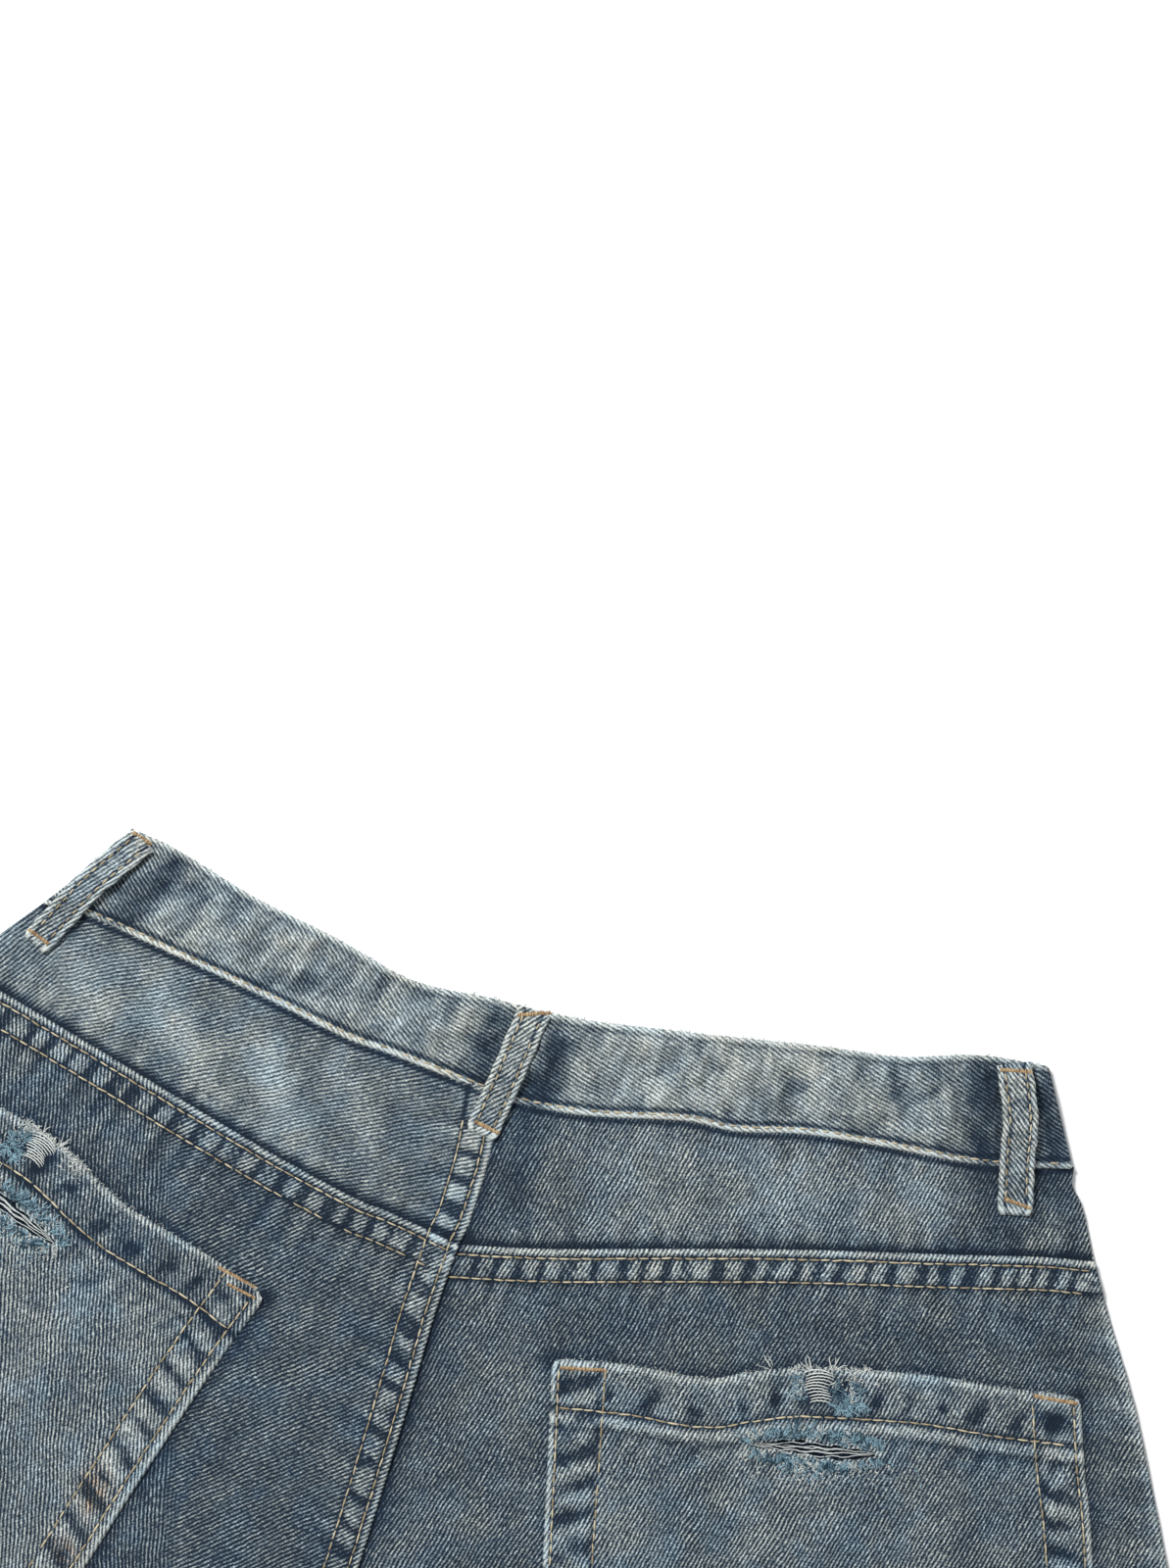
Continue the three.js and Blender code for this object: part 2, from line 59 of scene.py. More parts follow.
# %% Lines that are read by their length
class Line:
    """A smooth line through points, in millimetres on the drawing."""

    def __init__(self, points, smooth=True):
        p = np.array(points, float)
        if smooth:
            ends = np.vstack([2 * p[0] - p[1], p, 2 * p[-1] - p[-2]])
            t = np.linspace(0, 1, 24, endpoint=False)[:, None]
            runs = [
                b + (c - a) * t / 2 + (a - 2.5 * b + 2 * c - d / 2) * t**2
                + (1.5 * (b - c) + (d - a) / 2) * t**3
                for a, b, c, d in zip(ends, ends[1:], ends[2:], ends[3:])
            ]
            p = np.vstack([*runs, p[-1]])
        self.xy = p
        self.s = np.concatenate([[0], np.cumsum(np.linalg.norm(np.diff(p, axis=0), axis=1))])
        self.length = self.s[-1]

    def at(self, share):
        """The points at these shares of the length; past an end the line runs straight on."""
        s = np.asarray(share, float) * self.length
        xy = np.stack([np.interp(s, self.s, self.xy[:, k]) for k in (0, 1)], -1)
        first = (self.xy[1] - self.xy[0]) / self.s[1]
        last = (self.xy[-1] - self.xy[-2]) / (self.s[-1] - self.s[-2])
        return xy + np.minimum(s, 0)[..., None] * first + np.maximum(s - self.length, 0)[..., None] * last

    def direction(self, share):
        """The way the line runs there, as unit vectors."""
        step = 0.5 / self.length
        d = self.at(np.asarray(share) + step) - self.at(np.asarray(share) - step)
        return d / np.linalg.norm(d, axis=-1, keepdims=True)

    def left(self, share):
        """Unit vectors to the left of the way the line runs there."""
        d = self.direction(share)
        return np.stack([-d[..., 1], d[..., 0]], -1)

    def beside(self, offset, start=0.0, end=1.0, count=80):
        """A parallel line, offset to the left of the way it runs. offset may change along it."""
        t = np.linspace(start, end, count)
        out = np.interp(t, [start, end], np.broadcast_to(offset, 2))[:, None]
        return Line(self.at(t) + out * self.left(t), smooth=False)


NEAR_STEP = 6  # a distance is measured to chords of about this many millimetres


def join(*lines):
    """One line from lines that follow each other."""
    return Line(np.vstack([lines[0].xy, *[x.xy[1:] for x in lines[1:]]]), smooth=False)


def near(p, line):
    """Each point's distance from a line, and how far along the line that is."""
    q = line.at(np.linspace(0, 1, max(2, int(line.length / NEAR_STEP) + 1)))
    flat = p.reshape(-1, 2)
    best, along = np.full(len(flat), np.inf), np.zeros(len(flat))
    run = 0.0
    for a, b in zip(q, q[1:]):
        d = b - a
        size = math.hypot(*d)
        t = np.clip(((flat - a) @ d) / size**2, 0, 1)
        gap = np.hypot(flat[:, 0] - a[0] - t * d[0], flat[:, 1] - a[1] - t * d[1])
        closer = gap < best
        best[closer], along[closer] = gap[closer], run + t[closer] * size
        run += size
    return best.reshape(p.shape[:-1]), along.reshape(p.shape[:-1])


def smooth(x, low, high):
    """0 below low, 1 above high, and eased between."""
    t = np.clip((x - low) / (high - low), 0, 1)
    return t * t * (3 - 2 * t)


def bell(x, width):
    """1 at zero, fading to nearly nothing at twice the width."""
    return np.exp(-((x / width) ** 2))


def rounded(x, radius):
    """0 at an edge and 1 from radius inwards, along a quarter circle."""
    return np.sqrt(1 - (1 - np.clip(x / radius, 0, 1)) ** 2)


def raised(xy, z):
    """Places and their heights as points."""
    return np.concatenate([xy, z[..., None]], -1)


def spot(p, x, y, reach):
    """1 at a place, fading out around it."""
    return bell(np.hypot(p[..., 0] - x, p[..., 1] - y), reach)


def wobble(s, pitch, seed):
    """A smooth uneven wave from -1 to 1, with crests about one pitch apart."""
    draw = np.random.default_rng(seed)
    count = 2 * int(2400 / pitch)
    knots = np.cumsum(draw.uniform(0.3, 0.7, count)) * pitch - 600
    values = draw.uniform(0.45, 1, count) * np.where(np.arange(count) % 2, -1, 1)
    i = np.clip(np.searchsorted(knots, s) - 1, 0, count - 2)
    t = np.clip((s - knots[i]) / (knots[i + 1] - knots[i]), 0, 1)
    t = t * t * (3 - 2 * t)
    return values[i] * (1 - t) + values[i + 1] * t


def drift(p, size, seed, layers=3):
    """A soft uneven field from about -1 to 1, whose patches are about that size."""
    draw = np.random.default_rng(seed)
    total = np.zeros(p.shape[:-1])
    for k in range(layers):
        for _ in range(4):
            turn, phase = draw.uniform(0, 2 * math.pi, 2)
            reach = size / 1.7**k * draw.uniform(0.8, 1.3)
            wave = (p[..., 0] * math.cos(turn) + p[..., 1] * math.sin(turn)) * math.pi / reach
            total += np.sin(wave + phase + 1.5 * np.sin(wave * 0.37 + turn)) / 1.6**k
    return total / 4.2


# %% [markdown]
# ## The lines of the garment, as laid
# A pattern cutter draws a pair of jeans as a handful of lines: the band's two edges, the yoke seams, the
# seat seam, the side seams, the inseams and the hems. The walls of the frame were cut on the same lines, so
# the cloth that replaces them has the same outline to a fraction of a millimetre.

# %% Seams and edges
CENTRE_TOP, CENTRE_LOW, CENTRE_YOKE = (0, 0.5), (-11, -34.5), (-26.5, -89)
CROTCH, CENTRE_FRONT = (-104, -331), (32, -65)

band_top_left = Line([(-149, 67.5), (-133, 60), (-104, 42.5), (-74, 27.5), (-44, 11), (-15, 4.5),
                      CENTRE_TOP])
band_top_right = Line([CENTRE_TOP, (22, -4), (59, -8.5), (111, -14), (141, -18), (170, -17.5), (197, -22)])
band_low_left = Line([(-186, 39), (-170, 35), (-136, 20), (-100, 3), (-70, -12), (-52, -18.5), (-18, -32),
                      CENTRE_LOW])
band_low_right = Line([CENTRE_LOW, (-4, -37), (22, -41.5), (59, -43.5), (78, -47.5), (104, -48.5),
                       (133, -53), (172, -60.5), (206.5, -62)])
front_top = Line([(-149, 67.5), (-95, 22), (-20, -18), (35, -30), (112, -34), (197, -22)])
front_low = Line([(-186, 39), (-115, -10), (-38, -51), CENTRE_FRONT, (112, -69), (206.5, -62)])
yoke_seam_left = Line([(-217, 16), (-200, 6.5), (-140, -29), (-97, -54.5), (-66.5, -71), (-52, -77),
                       CENTRE_YOKE])
yoke_seam_right = Line([CENTRE_YOKE, (7, -90.5), (59, -90.5), (111, -91), (166, -93), (193, -94),
                        (214.5, -96)])
seat_yoke = Line([CENTRE_LOW, (-15, -56), (-22, -79), CENTRE_YOKE])
seat_seam = Line([CENTRE_YOKE, (-35.5, -115), (-44, -144), (-53, -174), (-64.5, -211), (-84, -270), CROTCH])
front_seam = Line([CENTRE_FRONT, (-8, -160), (-62, -266), CROTCH])
side_yoke_left = Line([(-186, 39), (-200, 29), (-217, 16)])
side_yoke_right = Line([(206.5, -62), (206, -67), (210, -76), (214.5, -96)])
side_left = Line([(-217, 16), (-250, -13), (-295, -57), (-337, -110), (-372, -166), (-425, -262),
                  (-520, -430), (-630, -610), (-726, -765)])
side_right = Line([(214.5, -96), (220, -117), (229.5, -150), (236.5, -183), (241, -206), (249, -255),
                   (257, -331), (255, -450), (236, -640), (205, -860), (181, -1027)])
inseam_left = Line([CROTCH, (-175, -446), (-300, -614), (-405, -757), (-512, -903)])
inseam_right = Line([CROTCH, (-101, -450), (-92, -650), (-82, -850), (-73, -1035)])
hem_left = Line([(-726, -765), (-620, -837), (-512, -903)])
hem_right = Line([(-73, -1035), (55, -1036), (181, -1027)])

pocket_right = dict(
    top=Line([(8.5, -132), (37, -134.5), (66.5, -139.5), (82, -137.5), (104, -135.5), (148, -138),
              (178, -143), (209, -147)]),
    bottom=Line([(2, -298), (104, -337), (214, -302)], smooth=False),
    left=Line([(8.5, -132), (7, -167), (5, -211), (2, -298)]),
    right=Line([(209, -147), (210.5, -174), (213.5, -211), (214, -302)]),
)
pocket_left = dict(
    top=Line([(-242, -19), (-200, -37.5), (-178, -51), (-155.5, -72), (-141, -81.5), (-118.5, -95),
              (-99.5, -109)]),
    bottom=Line([(-344, -156), (-290, -240), (-196, -254)], smooth=False),
    left=Line([(-242, -19), (-300, -92), (-344, -156)]),
    right=Line([(-99.5, -109), (-118.5, -135), (-148, -179.5), (-168, -211), (-196, -254)]),
)
band_low = join(band_low_left, band_low_right)
band_top = join(band_top_left, band_top_right)
whole_seat = join(seat_yoke, seat_seam)
back_edge_left, back_edge_right = join(seat_seam, inseam_left), join(seat_seam, inseam_right)
print("waist across the back", round(band_top.length), "mm, inseam", round(inseam_right.length), "mm")

# %% [markdown]
# The drawing has to land on the frame. The waist button is one small round node whose middle the drawing
# knows, so the difference between its box in the frame and its place on the drawing is the whole move.

# %% From the drawing to the frame
front_share = near(np.array([CENTRE_FRONT], float), front_low)[1][0] / front_low.length
BUTTON_AT = (front_low.at(front_share) + front_top.at(front_share)) / 2
low, high = (np.array(corner) * 1000 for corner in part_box("waist_button"))
SHIFT = (low + high)[:2] / 2 - BUTTON_AT


def to_frame(points):
    """Drawing millimetres to frame metres."""
    p = np.array(points, float)
    p[..., :2] += SHIFT
    return p / 1000


print("the drawing moves by", np.round(SHIFT, 1), "mm")

# %% [markdown]
# ## Heights
# Denim laid on a table keeps some air between its front and back. The back starts at the side seams, where
# the two layers fold together, and rises a few millimetres over the front; under the waistband it is higher
# still, because the lapped ends, the button and two loops lie underneath. These are the frame's own
# formulas, with the side seams rounded off.

# %% Heights of the layers
CLOTH, BAND, LAYER_GAP = 1.2, 2.4, 0.3
BAND_HEIGHT, HEM = 34.5, 13.5  # a hem's depth is to its stitches
SIDE_LIFT, SIDE_REACH, FRONT_LIFT, BACK_LIFT, LAP_LIFT, FOLD_TAPER = 2.6, 14, 2.3, 1.9, 2.7, 70
POCKET_RISE = 1.9  # a pocket's face over the panel's
EDGE = CLOTH + LAYER_GAP / 2  # radius of the rounding where front and back meet
OUTLINES = [side_yoke_left, side_yoke_right, side_left, side_right, inseam_left, inseam_right]


def plateau(x):
    """1 across the waist, falling to 0 at its two side folds."""
    left, right = -186, 206
    return smooth(x, left, left + FOLD_TAPER) * (1 - smooth(x, right - FOLD_TAPER, right))


def to_outline(p):
    """Distance from the nearest side fold or inseam."""
    return np.min([near(p, line)[0] for line in OUTLINES], axis=0)


def front_bottom(p):
    """The underside of the front: on the floor, but for a little air under the waist."""
    past = np.maximum(0, near(p, band_low)[0] - 50)
    return FRONT_LIFT * plateau(p[..., 0]) * bell(past, 40)


def edge_round(d):
    """Height of a quarter round at a distance d in from its edge."""
    return EDGE * rounded(d, EDGE)


def back_top(p, d=None):
    """The upper face of the back; d is the distance from the outline, if it is known."""
    d = to_outline(p) if d is None else d
    inside = 1 - np.exp(-np.maximum(0, d - EDGE) / SIDE_REACH)
    nearness = bell(near(p, band_low)[0], 70)
    lift = front_bottom(p) + BACK_LIFT * plateau(p[..., 0]) * nearness
    return EDGE + edge_round(d) + inside * SIDE_LIFT + lift * smooth(d, 0, 4)


def band_middle(x):
    """Height of the middle of the strip along the front."""
    return FRONT_LIFT * plateau(x) + BAND / 2


def band_back_middle(x):
    """Height of the middle of the strip along the back."""
    return band_middle(x) + BAND + LAYER_GAP + LAP_LIFT * plateau(x)


# %% [markdown]
# ## Cloth as a grid
# Each piece is a grid of points stretched between its four edges, as a Coons patch. A subdivided cage would
# give smooth cloth too, but a grid whose rows run along the seams can be packed tight where an edge rolls
# over or a needle has pulled a groove, and every point can carry two facts for the shader: how worn it is
# and how dark it is, from indigo that never faded and from painted shade beside raised edges, in grooves and
# in troughs.

# %% The grid and its mesh
def fill(top, bottom, left, right, us, vs):
    """Points between four edge lines, in rows from the top edge to the bottom edge."""
    u, v = us[None, :, None], vs[:, None, None]
    t, b, l, r = top.at(us)[None], bottom.at(us)[None], left.at(vs)[:, None], right.at(vs)[:, None]
    tl, tr, bl, br = top.at(0), top.at(1), bottom.at(0), bottom.at(1)
    corners = tl * (1 - u) * (1 - v) + tr * u * (1 - v) + bl * (1 - u) * v + br * u * v
    return t * (1 - v) + b * v + l * (1 - u) + r * u - corners


EDGE_STEPS = np.array([0, 0.12, 0.35, 0.7, 1.15, 1.7, 2.3, 2.9, 3.3, 3.6, 3.95, 4.5, 5.3])


def steps(length, step, first=False, last=False, grooves=()):
    """Distances along an edge of that length: even steps, packed tight by a rolled edge or a groove."""
    inner = np.arange(EDGE_STEPS[-1] + step * 0.8 if first else 0, length, step)
    parts = [inner, [length]]
    if first:
        parts.append(EDGE_STEPS)
    for g in grooves:
        parts.append(g + np.array([-0.7, -0.35, 0, 0.35, 0.7]))
    if last:
        parts.append(length - EDGE_STEPS)
    s = np.unique(np.concatenate(parts))
    s = s[(s >= 0) & (s <= length)]
    keep = np.concatenate([[True], np.diff(s) > 0.1])
    return s[keep]


def mesh_object(name, verts, faces, material, fields):
    """An object from plain arrays: points in drawing millimetres, and fields that the shader reads."""
    mesh = bpy.data.meshes.new(name)
    points, faces = to_frame(verts).astype(np.float32), np.asarray(faces, np.int32)
    sides = faces.shape[1]
    mesh.vertices.add(len(points))
    mesh.vertices.foreach_set("co", points.ravel())
    mesh.loops.add(faces.size)
    mesh.loops.foreach_set("vertex_index", faces.ravel())
    mesh.polygons.add(len(faces))
    mesh.polygons.foreach_set("loop_start", np.arange(0, faces.size, sides, dtype=np.int32))
    mesh.polygons.foreach_set("loop_total", np.full(len(faces), sides, np.int32))
    mesh.polygons.foreach_set("use_smooth", np.ones(len(faces), bool))
    for field, values in fields.items():
        data = mesh.attributes.new(field, "FLOAT", "POINT").data
        data.foreach_set("value", values.ravel().astype(np.float32))
    mesh.update(calc_edges=True)
    mesh.validate()
    mesh.materials.append(material)
    obj = bpy.data.objects.new(name + "_sewn", mesh)
    bpy.context.scene.collection.objects.link(obj)
    return obj


def grid_faces(rows, columns, around=False):
    """Quads of a grid that face up where rows run down the drawing and columns run to its right."""
    i, j = np.meshgrid(np.arange(rows - 1), np.arange(columns if around else columns - 1), indexing="ij")
    k = (j + 1) % columns
    here, below = i * columns, (i + 1) * columns
    return np.stack([here + j, below + j, below + k, here + k], -1).reshape(-1, 4)


YOKE_ROWS, SEAT_ROWS = (3.6, 12.4), (3.7, 12.6)  # how far in from its fold a felled seam is sewn


class Cloth:
    """A grid of cloth: where each point is on the drawing, how high, how worn and how dark."""

    def __init__(self, plan, height):
        self.p, self.z = plan, height
        self.worn, self.dark, self.turned = (np.zeros(height.shape) for _ in range(3))

    def fold(self, start, end, height, width, tint=1.0):
        """A soft ridge, or a trough where height is negative, that fades towards its ends. A ridge is painted
        lighter and a trough darker, as light and shade would fall on them.
        """
        line = Line([start, end])
        d, s = near(self.p, line)
        shape = bell(d, width) * (0.35 + 0.65 * np.sin(math.pi * np.clip(s / line.length, 0.05, 0.95)))
        self.z += height * shape
        # painted light on a ridge and painted shade in a trough
        self.worn += 0.16 * max(height, 0) * shape * tint
        self.dark += 0.16 * max(-height, 0) * shape * tint

    def halo(self, line, reach, amount):
        """Painted shade in the lee of a raised edge, with some indigo that never faded there."""
        self.dark += amount * bell(near(self.p, line)[0], reach)

    def shade(self, start, end, reach, amount):
        """A halo round a short straight line."""
        self.halo(Line([start, end]), reach, amount)

    def rub(self, start, end, reach, amount):
        """Dye rubbed off round a short straight line."""
        self.worn += amount * bell(near(self.p, Line([start, end]))[0], reach)

    def tuck(self, line, depth, reach):
        """Sinks the cloth where another piece laps over it."""
        self.z -= depth * np.exp(-near(self.p, line)[0] / reach)

    def felled(self, line, first, second, slant=0.0, seed=1, pitch=9.5, share=1.0, fade=8):
        """A flat-felled seam: a rolled pale edge, two pulled stitch lines and rungs of puckers between."""
        d, s = near(self.p, line)
        rung = wobble(s + slant * d, pitch, seed) + 0.35 * wobble(s + slant * d, pitch / 2.3, seed + 50)
        between = smooth(d, first, first + 1.4) * (1 - smooth(d, second - 1.4, second))
        past = smooth(d, second, second + 1.2) * np.exp(-np.maximum(0, d - second) / fade)
        groove = bell(d - first, 0.7) + bell(d - second, 0.7)
        body = 1.35 * edge_round(d) / EDGE * (1 - smooth(d, second + 0.2, second + 2.4))
        bar = rung + 0.25 * wobble(s - 0.8 * d, pitch / 2.7, seed + 90)
        bar = smooth(bar + 0.45 * drift(self.p, 7, seed + 11, 2), -0.65, 0.15)
        self.z += share * (body + 0.62 * (bar - 0.5) * between + 0.45 * rung * past - 0.5 * groove)
        self.worn += share * (0.62 * bell(d - 1.1, 1.25) + 0.36 * bar * between)
        self.worn += share * 0.3 * np.maximum(rung, 0) * past
        # painted shade in the two stitch grooves; the dark between the rungs is indigo that the puckers kept
        shade = bell(d - first, 0.95) + bell(d - second, 0.95)
        self.dark += share * (0.8 * (1 - bar) * between + 0.45 * np.maximum(-rung, 0) * past + 1.15 * shade)

    def object(self, name, material, faces=None, **more):
        """The finished piece. Faces are the grid's own unless given; more fields may be added."""
        faces = grid_faces(*self.z.shape) if faces is None else faces
        fields = {"worn": np.clip(self.worn, -1, 1.6), "dark": np.clip(self.dark, 0, 1.6)}
        fields = fields | {"turned": self.turned} | more
        return mesh_object(name, raised(self.p, self.z).reshape(-1, 3), faces, material, fields)


# %% [markdown]
# ## Shaders written as sums
# Node trees are easier to read as arithmetic. `Socket` wraps an output and turns `+ - *` into Math nodes;
# `Shader` makes every other node from its type, its settings and its inputs.

# %% Shader helpers
class Socket:
    """An output of a node, in an expression."""

    def __init__(self, shader, out):
        self.shader, self.out = shader, out

    def _math(self, operation, *values):
        return self.shader.node("ShaderNodeMath", {"operation": operation}, *values)

    def __add__(self, other):
        return self._math("ADD", self, other)

    def __sub__(self, other):
        return self._math("SUBTRACT", self, other)

    def __rsub__(self, other):
        return self._math("SUBTRACT", other, self)

    def __mul__(self, other):
        return self._math("MULTIPLY", self, other)

    __radd__, __rmul__ = __add__, __mul__


class Shader:
    """A material under construction."""

    def __init__(self, name):
        self.material = bpy.data.materials.new(name)
        self.material.use_nodes = True
        self.tree = self.material.node_tree
        self.tree.nodes.clear()
        self.end = self.tree.nodes.new("ShaderNodeOutputMaterial")

    def node(self, kind, settings=None, *inputs, out=0, **named):
        """One node: settings first, then inputs by place or by name. Returns one output."""
        made = self.tree.nodes.new(kind)
        for key, value in (settings or {}).items():
            if key == "stops":
                ramp = made.color_ramp
                while len(ramp.elements) < len(value):
                    ramp.elements.new(0.5)
                for element, (place, color) in zip(ramp.elements, value):
                    element.position, element.color = place, (*color, 1)
            else:
                setattr(made, key, value)
        for key, value in [*enumerate(inputs), *named.items()]:
            socket = made.inputs[key]
            if isinstance(value, Socket):
                self.tree.links.new(value.out, socket)
            elif value is not None:
                socket.default_value = value
        return Socket(self, made.outputs[out])

    def mix(self, factor, a, b, blend="MIX"):
        """Two colours mixed; the factor may be a number or a socket."""
        made = self.tree.nodes.new("ShaderNodeMix")
        made.data_type, made.blend_type = "RGBA", blend
        for index, value in ((0, factor), (6, a), (7, b)):
            if isinstance(value, Socket):
                self.tree.links.new(value.out, made.inputs[index])
            else:
                made.inputs[index].default_value = value if index == 0 else (*value, 1)
        return Socket(self, made.outputs[2])

    def between(self, value, low, high):
        """value's place between low and high, clamped from 0 to 1 and eased."""
        eased = {"interpolation_type": "SMOOTHSTEP"}
        return self.node("ShaderNodeMapRange", eased, value, low, high, 0.0, 1.0)

    def field(self, name):
        """What the mesh's points carry under that name."""
        return self.node("ShaderNodeAttribute", {"attribute_name": name}, out="Fac")

    def noise(self, vector, scale, detail=2.0, rough=0.5, out=0):
        return self.node("ShaderNodeTexNoise", {}, out=out, Vector=vector, Scale=scale, Detail=detail,
                         Roughness=rough)

    def move(self, vector, by, amount):
        """A place moved in X and Y by an uneven colour, times an amount."""
        scaled = {"operation": "MULTIPLY_ADD"}
        return self.node("ShaderNodeVectorMath", scaled, by, (amount, amount, 0.0), vector)

    def tinted(self, factor, color, tint):
        """A colour, multiplied by a tint as far as the factor says."""
        return self.mix(factor, color, self.mix(1.0, color, tint, "MULTIPLY"))

    def finish(self, color, rough, normal=None, metallic=0.0, specular=0.25):
        """Closes the material with one Principled shader."""
        principled = self.tree.nodes.new("ShaderNodeBsdfPrincipled")
        principled.inputs["Metallic"].default_value = metallic
        principled.inputs["Specular IOR Level"].default_value = specular
        for key, value in (("Base Color", color), ("Roughness", rough), ("Normal", normal)):
            if isinstance(value, Socket):
                self.tree.links.new(value.out, principled.inputs[key])
            elif value is not None:
                principled.inputs[key].default_value = (*value, 1) if key == "Base Color" else value
        self.tree.links.new(principled.outputs[0], self.end.inputs[0])
        return self.material


# %% [markdown]
# ## Washed twill
# Denim is a warp-faced twill: indigo warp yarns float over white weft in slanting ribs. Washing and wear
# take the dye off the tops of the ribs first, so a pale rib lies beside a navy gap, and the paler the place,
# the wider the pale part. An image could carry this, but a formula stays sharp at any distance: a slanting
# wave for the ribs, stretched noise for the yarns' unevenness, and one level that wear raises and that
# unfaded indigo and painted shade at seams and edges lower. The level picks the colour from a ramp; slow
# noise tints some patches bluer and some greyer.

# %% Denim
RIB = 1.46  # millimetres from one twill rib to the next
FLOAT = 1.15  # millimetres from one warp float to the next along a rib
BLUER, GREYER, RUSTY = (0.84, 0.99, 1.12), (1.04, 1.0, 0.94), (1.25, 0.86, 0.66)
WASH = [
    (0.0, (0.006, 0.013, 0.025)), (0.22, (0.019, 0.035, 0.055)), (0.42, (0.075, 0.1, 0.117)),
    (0.62, (0.188, 0.215, 0.22)), (0.8, (0.338, 0.365, 0.35)), (1.0, (0.59, 0.62, 0.585)),
]


def denim(name, slant, turned_slant=None, level=0.0, blue=0.75, grey=0.7, contrast=1.0, seed=0.0):
    """Twill with its ribs at slant degrees, and at turned_slant where the field "turned" says so."""
    sh = Shader(name)
    place = sh.node("ShaderNodeTexCoord", {}, out="Object")
    mm = sh.node("ShaderNodeVectorMath", {"operation": "SCALE"}, place, Scale=1000.0)
    waver = sh.move(mm, sh.noise(mm, 0.045, out="Color"), 3.4)
    cloth = sh.move(waver, sh.noise(mm, 0.6, 1.0, out="Color"), 0.55)
    strength = sh.noise(mm, 0.35, 2.0, 0.7)

    def ribs(angle):
        turned = sh.node("ShaderNodeVectorRotate", {"rotation_type": "Z_AXIS"}, Vector=cloth,
                         Angle=-math.radians(angle))
        across = sh.node("ShaderNodeSeparateXYZ", {}, turned, out="Y")
        along = sh.node("ShaderNodeSeparateXYZ", {}, turned, out="X")
        rib = sh.node("ShaderNodeMath", {"operation": "SINE"}, across * (2 * math.pi / RIB))
        step = sh.node("ShaderNodeMath", {"operation": "SINE"}, along * (2 * math.pi / FLOAT) + across * 2.1)
        grain = sh.node("ShaderNodeCombineXYZ", {}, along * 0.55, across * 1.5, seed)
        grain = sh.noise(grain, 1.0, 2.0, 0.6)
        return 0.5 + rib * (0.12 + strength * 0.36) + step * 0.06 + (grain - 0.5) * 1.3

    twill = ribs(slant)
    if turned_slant is not None:
        here = sh.field("turned") + (sh.noise(mm, 0.12) - 0.5) * 0.5
        share = sh.between(here, 0.35, 0.65)
        twill = sh.node("ShaderNodeMix", {}, share, None, twill, ribs(turned_slant))
    speck = sh.noise(mm, 1.25, 2.0, 0.7)
    mottle = sh.noise(mm, 0.24, 2.0, 0.6)
    patch = sh.noise(mm, 0.028, 3.0, 0.6)
    soft = sh.noise(mm, 0.11, 3.0, 0.6)
    # the field dark holds unfaded indigo and painted shade, and lowers the level
    tone = level + sh.field("worn") * 0.62 - sh.field("dark") * 0.42
    tone = tone + (soft - 0.5) * 0.2 + (patch - 0.5) * 0.16 + (mottle - 0.5) * 0.26
    crisp = contrast * (1.15 - sh.between(sh.field("worn"), 0.35, 1.0) * 0.6)
    shown = 0.43 + tone + (twill - 0.5) * crisp + (speck - 0.5) * (0.85 * contrast)
    color = sh.node("ShaderNodeValToRGB", {"stops": WASH}, shown)
    hue = sh.noise(mm, 0.06, 4.0, 0.65)
    color = sh.tinted(sh.between(hue, 0.42, 0.68) * blue, color, BLUER)
    color = sh.tinted(sh.between(hue, 0.52, 0.34) * grey, color, GREYER)
    color = sh.tinted(sh.field("rusty") * sh.between(mottle, 0.3, 0.55), color, RUSTY)
    bump = sh.node("ShaderNodeBump", {}, Strength=0.6, Distance=0.0005, Height=twill + speck * 0.4)
    return sh.finish(color, 0.93, bump)


body_right = denim("denim_right_leg", 58, level=-0.06)
body_left = denim("denim_left_leg", 24, 86, level=-0.115, blue=1.0, grey=0.3, seed=3.0)
yoke_right_cloth = denim("denim_right_yoke", 61, level=-0.03, contrast=0.92, seed=5.0)
yoke_left_cloth = denim("denim_left_yoke", 12, 38, level=0.005, contrast=0.76, seed=7.0)
band_cloth = denim("denim_band_left", -56, -34, level=0.155, blue=0.55, contrast=0.72, seed=9.0)
pocket_right_cloth = denim("denim_right_pocket", 60, level=-0.055, blue=1.0, grey=0.3, seed=11.0)
pocket_left_cloth = denim("denim_left_pocket", 86, level=0.01, blue=1.0, grey=0.25, seed=13.0)
loop_cloth = denim("denim_loops", 30, -54, level=0.05, contrast=0.85, seed=15.0)
front_cloth = denim("denim_front", 60, level=-0.05, seed=17.0)
print("denims", sum(material.name.startswith("denim") for material in bpy.data.materials))


def plain(name, color, other, rough=0.8, metallic=0.0, specular=0.3):
    """A finish that changes from one colour to another by the field "shade" of each stitch or yarn."""
    sh = Shader(name)
    place = sh.node("ShaderNodeTexCoord", {}, out="Object")
    fine = sh.noise(place, 900.0, 2.0)
    share = sh.field("shade") + (fine - 0.5) * 0.4
    bump = sh.node("ShaderNodeBump", {}, Strength=0.3, Distance=0.0002, Height=fine)
    return sh.finish(sh.mix(sh.between(share, 0.0, 1.0), color, other), rough, bump, metallic, specular)


khaki = plain("thread_khaki", (0.25, 0.2, 0.12), (0.57, 0.5, 0.35))
tack_gold = plain("thread_orange_gold", (0.24, 0.13, 0.055), (0.5, 0.37, 0.21))
white_yarn = plain("bared_weft", (0.38, 0.42, 0.42), (0.66, 0.69, 0.66))
